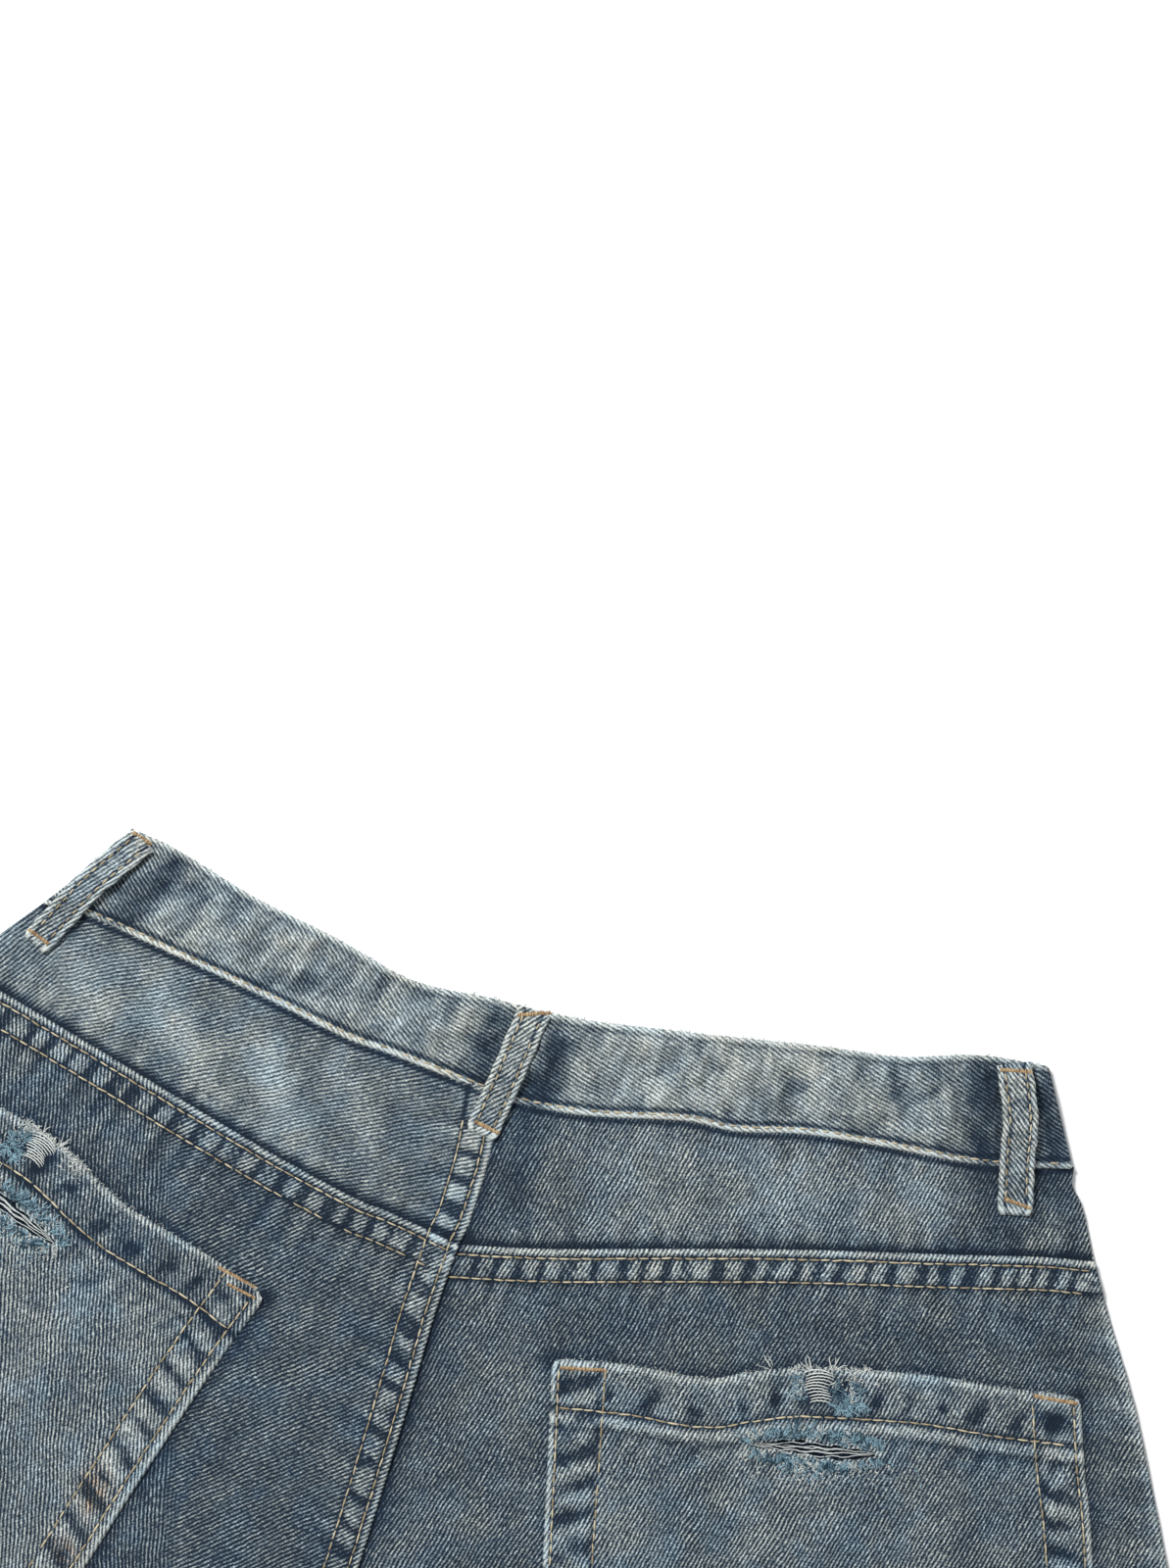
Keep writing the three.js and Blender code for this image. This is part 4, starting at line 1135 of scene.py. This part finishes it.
def part_slit(p, at, turn, length, gape):
    """Parts the cloth along a slit. Returns the points, and their places along and across the slit."""
    c, n = math.cos(math.radians(turn)), math.sin(math.radians(turn))
    a = (p[..., 0] - at[0]) * c + (p[..., 1] - at[1]) * n
    b = -(p[..., 0] - at[0]) * n + (p[..., 1] - at[1]) * c
    b = b + 0.7 * np.sin(a / length * 7) * bell(b, 6)
    open_half = gape / 2 * lens(a, length) ** 0.8 * (1 + 0.25 * np.sin(a * 0.9))
    shift = np.sign(b) * open_half * np.exp(-np.abs(b) / 4.5)
    return p + shift[..., None] * np.array([-n, c]), a, b


def pocket(edges, seen, seed, rip, side_rows, hollow, yarns, faded, ridge):
    """A pocket's grid with rolled edges, hem and puckers. rip is its slit's middle, turn, length and gape."""
    width, deep = edges["top"].length, max(edges["left"].length, edges["right"].length)
    us = steps(width, POCKET_STEP, first=True, last=True) / width
    near_rows = steps(seen, POCKET_STEP, first=True, grooves=(POCKET_HEM, HEM_FOLD))
    far_rows = np.arange(seen, deep - EDGE_STEPS[-1], 2.6)[1:]
    vs = np.unique(np.concatenate([near_rows, far_rows, deep - EDGE_STEPS[::-1]])) / deep
    p, a, b = part_slit(fill(edges["top"], edges["bottom"], edges["left"], edges["right"], us, vs), *rip)
    centre = (edges["left"].at(0.5) + edges["right"].at(0.5)) / 2
    for corner in (edges[key].at(end) for key in ("top", "bottom") for end in (0, 1)):
        inward = (centre - corner) / np.linalg.norm(centre - corner)
        p = p + 1.5 * bell(np.linalg.norm(p - corner, axis=-1), 2.4)[..., None] * inward
    cloth = Cloth(p, back_top(p) + POCKET_RISE)
    gaps = {key: near(p, edges[key]) for key in ("top", "left", "right", "bottom")}
    to_side = np.minimum(gaps["left"][0], gaps["right"][0])
    edge = np.minimum(np.minimum(to_side, gaps["top"][0]), gaps["bottom"][0])
    cloth.z -= POCKET_RISE * (1 - rounded(edge, 1.5))
    d, s = gaps["top"]
    hem = 1 - smooth(d, HEM_FOLD - 1, HEM_FOLD + 1)
    cloth.z += (0.75 + 0.25 * wobble(s, 30, seed)) * hem * smooth(edge, 0, 2)
    puff = wobble(s, 14.5, seed + 1)
    cloth.z += 0.4 * puff * bell(d - 12, 6) + 0.35 * wobble(s, 7, seed + 2) * bell(d - POCKET_HEM + 3, 3)
    cloth.z -= 0.6 * bell(d - POCKET_HEM, 0.9)
    cloth.worn += 0.45 * bell(d - 1.0, 1.6) + ridge * bell(d - 21.5, 2.8) + faded * hem * smooth(d, 0, 3)
    cloth.worn += 0.08 * puff * bell(d - 12, 5.5)
    # painted shade in the hem's stitch groove and under the cut edge of the hem fold
    cloth.dark += 1.3 * bell(d - POCKET_HEM - 0.3, 1.4) + 1.2 * ridge * bell(d - 26, 1.4)
    rays = wobble(s + 0.5 * d, 9, seed + 12) * bell(d - 30, 6)
    cloth.worn += 0.16 * np.maximum(0, rays)
    cloth.dark += 0.4 * np.maximum(0, -rays)
    blot = smooth(wobble(s + 0.3 * d, 15, seed + 3) + 0.5 * drift(p, 7, seed + 4), 0.0, 0.8)
    cloth.dark += 1.25 * blot * bell(d - 12, 5)
    cloth.dark += 0.25 * smooth(drift(p, 9, seed + 9), 0, 0.7) * hem
    for key, rows in side_rows.items():
        d, s = gaps[key]
        rung = wobble(s + 0.35 * d, 12, seed + 5) + 0.55 * drift(p, 7, seed + 10)
        strip = smooth(d, rows[0] - 1, rows[0] + 2) * (1 - smooth(d, rows[1] - 2, rows[1] + 1))
        groove = bell(d - rows[0], 0.8) + bell(d - rows[1], 0.8)
        cloth.z += 0.45 * (rung * strip - groove)
        cloth.worn += 0.3 * np.maximum(0, rung) * strip + 0.6 * bell(d - 0.9, 1.4)
        # painted shade in the side stitch grooves; the puckers' troughs keep their indigo
        cloth.dark += 0.95 * smooth(-rung, 0.1, 0.9) * strip + 0.6 * groove
    cloth.z += 0.3 * drift(p, 17, seed + 6) * smooth(edge, 0, 6)
    cloth.z += 0.4 * drift(p, 48, seed + 7) * smooth(edge, 0, 9)
    cloth.worn += 0.12 * drift(p, 16, seed + 8)
    length = rip[2]
    lips = bell(np.hypot(np.maximum(0, np.abs(a) - length / 2) * 0.8, b), 3.2)
    cloth.z += 0.5 * lips
    cloth.worn += 0.3 * lips + 0.12 * bell(np.hypot(a / 2.4, b), 11)
    # painted shade in the worn hollow, and a painted shadow under the arched white yarns
    hole = spot(p, *hollow)
    cloth.z -= 0.7 * hole
    cloth.dark += spot(p, *yarns, 6) + 0.75 * hole
    faces = grid_faces(*cloth.z.shape)
    above = (b > 0).ravel()[faces]
    split = above.any(1) & ~above.all(1) & (np.abs(a.ravel()[faces]).max(1) < length / 2)
    return cloth, faces[~split]


def pocket_object(name, cloth, faces, material):
    """The finished pocket, with the rust marks that lie on it."""
    rusty = sum(spot(cloth.p, *mark) for mark in RUST)
    return cloth.object(name, material, faces, rusty=rusty)


RIP_RIGHT = ((108, -166.6), -4, 46, 5.0)
RIP_LEFT = ((-198.5, -73.5), -38.5, 48, 5.2)
cloth, faces = pocket(pocket_right, 86, 101, RIP_RIGHT, {"left": (2.8, 18.5), "right": (3.2, 17.5)},
                      (119.5, -145, 5.5), (109, -142), 0.15, 0.32)
cloth.fold((40, -166), (20, -200), 0.5, 14)
cloth.fold((150, -170), (165, -205), -0.5, 12)
cloth.fold((95, -185), (105, -215), 0.5, 16)
back_pocket_right = pocket_object("back_pocket_right", cloth, faces, pocket_right_cloth)
cloth, faces = pocket(pocket_left, 150, 121, RIP_LEFT, {"right": (4.5, 18.0), "left": (3.0, 17.0)},
                      (-193.5, -50, 5.0), (-184, -53.5), -0.12, 0.12)
cloth.fold((-225, -95), (-260, -150), 0.8, 12)
cloth.fold((-185, -125), (-215, -170), -0.7, 10)
cloth.fold((-205, -160), (-225, -200), 0.6, 12)
back_pocket_left = pocket_object("back_pocket_left", cloth, faces, pocket_left_cloth)
print("pockets", len(back_pocket_right.data.polygons), len(back_pocket_left.data.polygons), "faces")

# %% [markdown]
# ## Belt loops
# A loop is a narrow strip folded in three, stitched down both sides and tacked at each end, so it bows up
# over the waistband and is squashed flat under its tacks. A swept cross-section with soft corners makes it.

# %% Belt loops
LOOP_STITCH = 2.9  # how far in from its sides a loop is stitched
CENTRE_WIDTH, LEFT_WIDTH, LOOP_WIDTH = 12.6, 11.8, 13.5
UPPER, UNDER = 27, 9  # points across a loop's upper face and its underside


def over_band(first, last):
    """Heights over the strip that run from the place x = first to the place x = last."""
    first, last = (band_back_middle(np.array(float(x))) + 1.5 for x in (first, last))
    return lambda t: first * (1 - smooth(t, 0, 1)) + last * smooth(t, 0, 1)


def loop(name, points, height, width=LOOP_WIDTH, rise=2.2, turned=0.0, seed=0):
    """A strip along a line. height gives its middle at each share; its ends are pressed down by tacks."""
    line = Line(points)
    t = np.linspace(0, 1, 84)
    z = height(t) + rise * np.sin(math.pi * t) ** 0.8 * (t > 0)
    z = z - 0.35 * (bell(t * line.length - 2.5, 1.2) + bell((1 - t) * line.length - 2.5, 1.2))
    w = np.concatenate([np.linspace(-1, 1, UPPER), np.linspace(1, -1, UNDER)[1:-1]])
    top = np.concatenate([np.ones(UPPER), -np.ones(UNDER - 2)])
    half = width / 2 * (1 + 0.035 * wobble(t * line.length, 9, 200 + seed))
    half = half - 1.0 * (1 - smooth((1 - t) * line.length, 0, 2.4))
    plan = line.at(t)[:, None] + (w[None, :] * half[:, None])[..., None] * line.left(t)[:, None]
    edge = (1 - np.abs(w))[None, :] * half[:, None]
    thick = 0.9 * rounded(edge, 1.3)
    ends = np.minimum(t, 1 - t)[:, None] * line.length
    thick = np.maximum(thick * rounded(ends, 1.3), 0.02)
    piece = Cloth(plan, z[:, None] + top[None, :] * thick)
    along = (t * line.length)[:, None] + 0 * piece.z
    foot = line.length - along
    groove = bell(edge - LOOP_STITCH, 0.7)
    pucker = wobble(along + 0.5 * edge, 6, 210 + seed)
    middle = smooth(edge, LOOP_STITCH, LOOP_STITCH + 1.5)
    relief = 0.35 * (1 - middle) - 0.45 * groove + 0.2 * pucker * middle + 0.6 * bell(foot - 1.9, 1.7)
    piece.z += (top > 0)[None, :] * (relief + 0.15 * wobble(along, 15, 220 + seed))
    piece.worn += 0.42 * (1 - smooth(edge, 1.8, 2.8)) + 0.5 * (1 - smooth(foot, 2.6, 4.0))
    piece.worn += (0.05 + 0.1 * pucker + 0.24 * bell(along, 24)) * middle
    # painted shade in the stitch grooves; the blotches down the middle are unfaded indigo
    piece.dark += 0.85 * groove + 0.35 * np.maximum(0, wobble(along, 16, 230 + seed)) * middle
    piece.turned += turned
    return piece.object(name, loop_cloth, grid_faces(*piece.z.shape, around=True)[:, ::-1]), line


belt_loop_centre_back, centre_line = loop("belt_loop_centre_back", [(2, -0.5), (-8, -24), (-18.5, -47.5)],
                                          over_band(-8, -14), CENTRE_WIDTH, seed=1)
belt_loop_back_left, left_line = loop("belt_loop_back_left",
                                      [(-146.3, 64), (-165, 48.2), (-177, 35.6), (-187.6, 24.4)],
                                      over_band(-160, -174), LEFT_WIDTH, seed=2)
belt_loop_back_right, right_line = loop("belt_loop_back_right",
                                        [(183.3, -20.5), (185.6, -40.7), (184.5, -56), (183.7, -78)],
                                        over_band(172, 182), turned=1.0, seed=3)


def front_loop(name, share, seed):
    """A loop on the front, flat on the floor under the strip."""
    low, top = front_low.at(share), front_top.at(share)
    way = (top - low) / np.linalg.norm(top - low)
    points = [top + 0.3 * way, (low + top) / 2, low - 9 * way]
    return loop(name, points, lambda t: 0.95 + 0 * t, rise=0, seed=seed)[0]


belt_loop_front_left = front_loop("belt_loop_front_left", 0.24, 4)
belt_loop_front_right = front_loop("belt_loop_front_right", 0.78, 5)
print("loops", len(belt_loop_centre_back.data.polygons), "faces each")

# %% [markdown]
# ## The waist button
# A tack button is a stamped brass shell over a rivet: a shallow dome with a rolled rim and a sunken middle.
# It lies under the lapped ends of the band, face down, so only its underside view shows it. A lathe of the
# half profile is the natural way to make it.

# %% Button
PROFILE = [(0, 0.55), (2.6, 0.5), (3.4, 0.25), (5.2, 0.2), (6.9, 0.02), (7.8, 0.1), (8.35, 0.55), (8.45, 1.1),
           (8.1, 1.7), (7.4, 1.95), (3.2, 1.98), (0, 1.98)]
RINGS, SPOKES = 60, 72
radius, level = Line(PROFILE).at(np.linspace(0, 1, RINGS)).T
turns = np.linspace(0, 2 * math.pi, SPOKES, endpoint=False)
wide = np.maximum(radius, 0.001)
ring = np.stack([np.outer(wide, np.cos(turns)) + BUTTON_AT[0], np.outer(wide, np.sin(turns)) + BUTTON_AT[1],
                 np.repeat(np.clip(level, 0, PROFILE[-1][1])[:, None], SPOKES, 1)], -1)
shade = np.repeat(0.3 + 0.5 * (radius / 8.5), SPOKES)
waist_button = mesh_object("waist_button", ring.reshape(-1, 3),
                           grid_faces(RINGS, SPOKES, around=True)[:, ::-1], brass, {"shade": shade})
print("button", round(2 * radius.max(), 1), "mm across")

# %% [markdown]
# ## Sewing it together
# The thread is faded khaki gold, except at the tacks, which kept an orange tint. Every seam is sewn where its
# grooves are, over the cloth's own height, so the stitches follow each pucker.

# %% Seams
ground_back = Ground(back_panel_left, back_panel_right, back_yoke_left, back_yoke_right, waistband,
                     back_pocket_left, back_pocket_right)
sewing = Sewing(5)


def sew(line, offset, *look, **span):
    """One row beside a seam; look is its pitch, dash and radius, and span its first and last share."""
    sewing.row(line.beside(offset), ground_back, *look, **span)


sewing.row(band_low.beside(3.4, 0.02, 0.99, 200), ground_back, 4.4, 3.1, 0.36)
sew(yoke_seam_right, -YOKE_ROWS[0], start=-0.004)
sew(yoke_seam_right, -YOKE_ROWS[1], start=-0.016)
sew(yoke_seam_left, -YOKE_ROWS[0], end=0.997)
sew(yoke_seam_left, -YOKE_ROWS[1], end=0.98)
sew(whole_seat, -SEAT_ROWS[0], start=0.015)
sew(whole_seat, -SEAT_ROWS[1], start=0.03)
for hem in (hem_left, hem_right):
    sew(hem, HEM, start=0.02, end=0.98)
sew(inseam_left, -2.2, end=0.97)
sew(inseam_right, 2.2, end=0.97)
sew(pocket_right["top"], -POCKET_HEM, 4.6, 4.25, 0.36, start=0.02, end=0.98)
sew(pocket_left["top"], -POCKET_HEM + 0.6, 4.6, 4.25, 0.36, end=0.975)
for edge, offset, start in (
        (pocket_right["left"], 2.8, 0.025), (pocket_right["left"], (20.5, 16.5), 0.02),
        (pocket_right["right"], -3.2, 0.02), (pocket_right["right"], (-19.0, -16.0), 0.01),
        (pocket_left["right"], -4.5, 0.03), (pocket_left["right"], -18, 0.0),
        (pocket_left["left"], 3, 0.03), (pocket_left["left"], 17, 0.02)):
    sew(edge, offset, 4.4, 3.9, 0.36, start=start, end=0.97)
for edges in (pocket_right, pocket_left):
    sewing.row(edges["bottom"].beside(3.0, 0.02, 0.98), ground_back, 4.3, 3.2, 0.37)
loops_ground = Ground(belt_loop_centre_back, belt_loop_back_left, belt_loop_back_right)
for line, width in ((centre_line, CENTRE_WIDTH), (left_line, LEFT_WIDTH), (right_line, LOOP_WIDTH)):
    for side in (-1, 1):
        beside = line.beside(side * (width / 2 - LOOP_STITCH))
        sewing.row(beside, loops_ground, 4.0, 2.9, 0.34, start=0.05, end=0.92)
stitching = sewing.object("stitching", khaki)
print("stitching", len(stitching.data.polygons), "faces")

# %% [markdown]
# Bar tacks hold what is pulled at: the corners of the pockets and both ends of each loop.

# %% Bar tacks
tacks = Sewing(9)
for start, end, width, ground in (
        ((11.6, -135.4), (29.4, -136.5), 1.5, ground_back),
        ((190.7, -146.3), (207.4, -149.3), 1.5, ground_back),
        ((-117.8, -97.4), (-103, -105.9), 1.3, ground_back),
        ((-114.0, -103.7), (-103.7, -109.3), 1.1, ground_back),
        ((-4.2, -2.0), (8.2, -1.2), 1.6, Ground(belt_loop_centre_back, waistband)),
        ((-20.4, -42.0), (-11.2, -46.6), 1.6, loops_ground),
        ((-150.0, 66.8), (-143.2, 62.2), 1.5, Ground(belt_loop_back_left, waistband)),
        ((-189.6, 30.4), (-181.8, 24.6), 1.5, loops_ground),
        ((179.6, -71.6), (189.6, -75.2), 1.6, loops_ground),
        ((178.0, -22.8), (190.0, -23.6), 1.5, loops_ground)):
    tacks.tack(start, end, width, ground)
bar_tacks = tacks.object("bar_tacks", tack_gold)
print("tacks", len(bar_tacks.data.polygons), "faces")

# %% [markdown]
# ## Rips and frays
# Where denim is abraded the blue warp breaks first and stands up as fluff, while the white weft stays and
# bridges the gap. So each slit has a few wavy white yarns lying along it over a dark gap, a fringe of blue
# fibres on its lips, and pale pills round about. The worn places on the pockets' mouths show a ladder of
# arched white yarns beside a fluffy blue hollow. All of it is fine tubes, joined into one mesh per colour.

# %% Yarns and fluff
white, blue, pale = Sewing(21), Sewing(22), Sewing(23)


def on_line(at, turn, a, b):
    """Points at a along and b across a line through at, turned by turn degrees."""
    c, n = math.cos(math.radians(turn)), math.sin(math.radians(turn))
    return np.stack([at[0] + a * c - b * n, at[1] + a * n + b * c], -1)


def fuzz(kind, ground, xy, length, radius, rise, aim=None, spread=1.0):
    """Curly fibres rooted at the given points of the cloth."""
    z = ground.height(xy)
    ok = ~np.isnan(z)
    paths = curls(kind.draw, xy[ok], z[ok] - 0.15, length, spread, rise, aim=aim)
    kind.strands(paths, radius * kind.draw.uniform(0.6, 1.3, ok.sum()))


LOCK, LOCK_WIDTH, LOCK_RADIUS = 9, 0.5, 0.17  # fibres in a lock, how far they spread, and how thick they are


def tufts(kind, ground, xy, aim, length, rise, bright):
    """Fibres in locks: those of one lock start close together, lean one way and share one shade."""
    draw, n = kind.draw, len(xy)
    roots = np.repeat(xy, LOCK, 0) + draw.normal(0, LOCK_WIDTH, (n * LOCK, 2))
    lean = np.repeat(aim + draw.normal(0, 0.6, n), LOCK)
    shade = np.repeat(draw.uniform(*bright, n), LOCK) + draw.normal(0, 0.3, n * LOCK)
    shade = np.clip(shade, 0, 1)
    size = np.repeat(draw.uniform(0.6, 1.25, n), LOCK) * length
    z = ground.height(roots)
    ok = ~np.isnan(z)
    paths = curls(draw, roots[ok], z[ok] - 0.15, size[ok], 0.5, rise, aim=lean[ok], stray=0.22)
    kind.strands(paths, LOCK_RADIUS * draw.uniform(0.7, 1.2, ok.sum()), shade[ok])


def slit(ground, at, turn, length, gape, seed):
    """The yarns and the fringe of one rip."""
    draw = np.random.default_rng(seed)
    lip = on_line(at, turn, np.linspace(-20, 20, 9), np.full(9, gape / 2 + 1.5))
    level = float(np.nanmax(ground.height(lip)))
    a = np.linspace(-0.5, 0.5, 46)
    for k, u in enumerate((-0.98, -0.42, -0.3, 0.18, 0.32, 0.97)):
        first, last = -length / 2 - 0.5 + draw.uniform(0, 3), length / 2 + 0.5 - draw.uniform(0, 3)
        if k in (2, 4):
            first += draw.uniform(8, 14)
        if k in (1, 3):
            last -= draw.uniform(6, 12)
        along = first + (last - first) * (a + 0.5)
        room = gape / 2 * lens(along, length)
        across = u * room + 0.5 * wobble(along + 37 * k, 9, seed + k) * (0.3 + room / gape)
        across += 0.1 * wobble(along, 2.6, seed + 20 + k)
        xy = on_line(at, turn, along, across)
        z = level - 0.35 - 0.9 * room / gape + 0.25 * wobble(along, 7, seed + 40 + k)
        white.strands(raised(xy, z)[None], 0.2, np.array([draw.uniform(0.3, 0.85)]), 5, 0.3)
    for kind, count, side, reach, size, rise, bright in (
            (blue, 74, 1, 2.6, 4.4, 1.7, (0.15, 1.0)), (pale, 9, 1, 2.2, 4.0, 1.8, (0.0, 0.7)),
            (blue, 52, -1, 2.6, 3.2, 1.1, (0.0, 0.95)), (pale, 8, -1, 3.2, 2.4, 0.9, (0.0, 0.7))):
        along = draw.uniform(-length / 2 - 3, length / 2 + 3, count)
        room = gape / 2 * lens(along, length) ** 0.8
        across = side * (room + np.abs(draw.normal(0, reach, count)) * 0.6 + 0.3)
        aim = math.radians(turn) + side * math.pi / 2
        tufts(kind, ground, on_line(at, turn, along, across), aim, size, rise, bright)
    for kind, count, size in ((blue, 240, 2.4), (pale, 230, 1.6)):
        along = draw.normal(0, length / 3.2, count)
        across = -gape / 2 - np.abs(draw.normal(0, 5.0, count)) - 1
        fuzz(kind, ground, on_line(at, turn, along, across), size, 0.19, 0.7, spread=2.2)
    for tilt, place in ((112, -6.5), (70, 15.0), (120, -9.0)):
        roots = on_line(at, turn, place + draw.normal(0, 0.5, 16), gape / 2 + draw.uniform(0, 1.5, 16))
        fuzz(blue, ground, roots, 5.0, 0.13, 1.0, aim=math.radians(turn + tilt), spread=0.3)


def worn_mouth(ground, edge_at, turn, size, hollow, seed):
    """The abraded part of a pocket's mouth: arched white yarns, a blue hollow and frayed ends."""
    draw = np.random.default_rng(seed)
    wide, deep = size
    for k in range(11):
        down = -0.4 - k * deep / 10
        a = np.linspace(-0.5, 0.5, 16)
        narrow = 1 - 0.3 * k / 10
        along = a * wide * narrow + 0.9 * math.sin(k * 0.9) + 0.25 * k * wide / 30
        arch = 1.5 * (1 - (2 * a) ** 2)
        across = down + arch * (1 - 0.04 * k) - 1.2 + 0.12 * wobble(along * 3 + k * 31, 5, seed + k)
        xy = on_line(edge_at, turn, along, across)
        z = ground.height(xy)
        z = np.where(np.isnan(z), np.nanmax(z) if not np.isnan(z).all() else 9, z)
        z = np.maximum(z, np.nanmean(z) - 0.3) + 0.5 + 0.5 * (1 - (2 * a) ** 2)
        white.strands(raised(xy, z)[None], 0.26, np.array([draw.uniform(0.7, 1.0)]), 5, 0.4)
    middle, reach = np.array(hollow[:2]), hollow[2]
    for kind, count, share, length in ((blue, 24, 0.75, 3.6), (pale, 3, 0.9, 3.0)):
        spots = middle + draw.normal(0, reach * share, (count, 2)) * (1.0, 0.8)
        tufts(kind, ground, spots, draw.uniform(0, 2 * math.pi, count), length, 1.2, (0.0, 0.9))
    along, across = draw.normal(-1, reach * 0.8, 18), -reach * 0.9 + draw.normal(0, 1, 18)
    tufts(blue, ground, middle + on_line((0, 0), turn, along, across), math.radians(turn - 90), 3.4, 1.2,
          (0.5, 1.0))
    before = on_line(edge_at, turn, draw.normal(-wide * 0.7, 1.3, 60), draw.uniform(-deep, 0.3, 60))
    after = on_line(edge_at, turn, draw.normal(wide * 1.35, 3.5, 50), draw.uniform(-6, 0.3, 50))
    fuzz(pale, ground, np.concatenate([before, after]), 2.2, 0.15, 0.8, spread=1.8)
    sides = on_line(edge_at, turn, draw.normal(-wide * 0.62, 1.6, 110), draw.uniform(-deep - 1, -2, 110))
    fuzz(blue, ground, sides, 2.4, 0.17, 0.9, spread=2.0)
    edge = on_line(edge_at, turn, draw.uniform(-wide * 0.9, wide * 1.9, 150), draw.normal(-0.6, 0.5, 150))
    fuzz(pale, ground, edge, 2.2, 0.15, 0.5, aim=math.radians(turn + 90), spread=0.8)
    for place, lean in ((-2.2, 100), (6.0, 95), (-17.0, 110)):
        roots = on_line(edge_at, turn, place + draw.normal(0, 0.25, 5), np.full(5, -0.8))
        fuzz(pale, ground, roots, 5.2, 0.2, 0.4, aim=math.radians(turn + lean), spread=0.25)


over_right, over_left = Ground(back_pocket_right), Ground(back_pocket_left)
slit(over_right, *RIP_RIGHT, seed=301)
slit(over_left, *RIP_LEFT, seed=331)
worn_mouth(over_right, (109.0, -136.0), -2, (11, 11), (120.5, -146, 4.6), 361)
worn_mouth(over_left, (-182.5, -48.2), -38, (11, 9), (-193.5, -50.5, 4.4), 391)


def nap(line, ground, each, length, kinds, seed):
    """Short hairs off an edge or a fold: each to the millimetre, their kinds picked at random."""
    draw = np.random.default_rng(seed)
    count = int(line.length * each)
    t = draw.uniform(0.0, 1.0, count)
    across = line.left(t)
    xy = line.at(t) + across * draw.normal(-0.3, 0.5, count)[:, None]
    heading = np.arctan2(across[:, 1], across[:, 0])
    kind = draw.integers(0, len(kinds), count)
    for k, hairs in enumerate(kinds):
        roots, aim = xy[kind == k], heading[kind == k]
        z = ground.height(roots)
        ok = ~np.isnan(z)
        paths = curls(hairs.draw, roots[ok], z[ok] - 0.1, length, 0.7, 0.35, points=5, aim=aim[ok])
        hairs.strands(paths, 0.11 * hairs.draw.uniform(0.7, 1.3, ok.sum()))


nap(band_top, Ground(waistband), 1.1, 1.2, (pale, blue), 411)
nap(pocket_right["top"], over_right, 1.4, 1.3, (pale, pale, blue), 412)
nap(pocket_left["top"], over_left, 1.8, 1.5, (pale, pale, blue), 413)
bared_weft = white.object("bared_weft", white_yarn)
fluff_blue = blue.object("fluff_blue", blue_fluff)
fluff_pale = pale.object("fluff_pale", pale_fluff)
for piece in (bared_weft, fluff_blue, fluff_pale):
    print(piece.name, len(piece.data.polygons), "faces")

# %% [markdown]
# ## Floor, light and camera
# The garment lies on white paper. One soft key light comes from beyond the waistband, so that each seam
# throws its shade down the drawing, and a weak fill opens the shadows. The camera hangs straight above the
# seat and sees only the upper part, close enough to count the ribs.

# %% Stage
floor_paint = Shader("paper_floor").finish((0.9, 0.9, 0.9), 0.9)
bpy.ops.mesh.primitive_plane_add(size=24, location=(0, 0, -0.0006))
floor = bpy.context.active_object
floor.name = "floor"
floor.data.materials.append(floor_paint)

AIM = to_frame([22.2, 85.2, 9.0])
DISTANCE, SPAN = 1500, 592.6  # millimetres up to the camera, and of the drawing that fill its long side
camera_data = bpy.data.cameras.new("camera")
camera_data.lens = camera_data.sensor_width * DISTANCE / SPAN
camera = bpy.data.objects.new("camera", camera_data)
bpy.context.scene.collection.objects.link(camera)
camera.location = (AIM[0], AIM[1], AIM[2] + DISTANCE / 1000)
bpy.context.scene.camera = camera


def area_light(name, location, target, size, power):
    data = bpy.data.lights.new(name, "AREA")
    data.shape, data.size, data.energy = "DISK", size, power
    light = bpy.data.objects.new(name, data)
    light.location = location
    light.rotation_euler = (Vector(target) - Vector(location)).to_track_quat("-Z", "Y").to_euler()
    bpy.context.scene.collection.objects.link(light)


TARGET = (float(AIM[0]), float(AIM[1]) - 0.15, 0.0)
area_light("key", (TARGET[0] - 0.75, TARGET[1] + 1.15, 1.75), TARGET, 0.6, 58)
area_light("fill", (TARGET[0] + 1.6, TARGET[1] - 0.6, 1.8), TARGET, 1.6, 8)
world = bpy.data.worlds.new("studio")
world.use_nodes = True
world.node_tree.nodes["Background"].inputs[0].default_value = (0.95, 0.97, 1.0, 1)
world.node_tree.nodes["Background"].inputs[1].default_value = 0.38
bpy.context.scene.world = world
bpy.context.scene.view_settings.view_transform = "Standard"

# %% [markdown]
# ## Handing over
# Each piece rides on the one body and takes the place of its own plain wall.

# %% Hand over
PIECES = [
    (front_panel_left, "body_denim"), (front_panel_right, "body_denim"), (back_panel_left, "body_denim"),
    (back_panel_right, "body_denim"), (back_yoke_left, "body_denim"), (back_yoke_right, "body_denim"),
    (waistband, "waistband_denim"), (back_pocket_left, "pocket_denim"), (back_pocket_right, "pocket_denim"),
    (belt_loop_centre_back, "loop_denim"), (belt_loop_back_left, "loop_denim"),
    (belt_loop_back_right, "loop_denim"), (belt_loop_front_left, "loop_denim"),
    (belt_loop_front_right, "loop_denim"), (waist_button, "button_brass"), (stitching, "stitching_thread"),
    (bar_tacks, "stitching_thread"), (bared_weft, "bared_yarn"), (fluff_blue, "bared_yarn"),
    (fluff_pale, "bared_yarn"),
]
for piece, slot in PIECES:
    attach(piece, "root")
for piece, slot in PIECES[:15]:
    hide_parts(piece.name.removesuffix("_sewn"))
print("triangles", sum(len(piece.data.polygons) for piece, _ in PIECES) * 2)
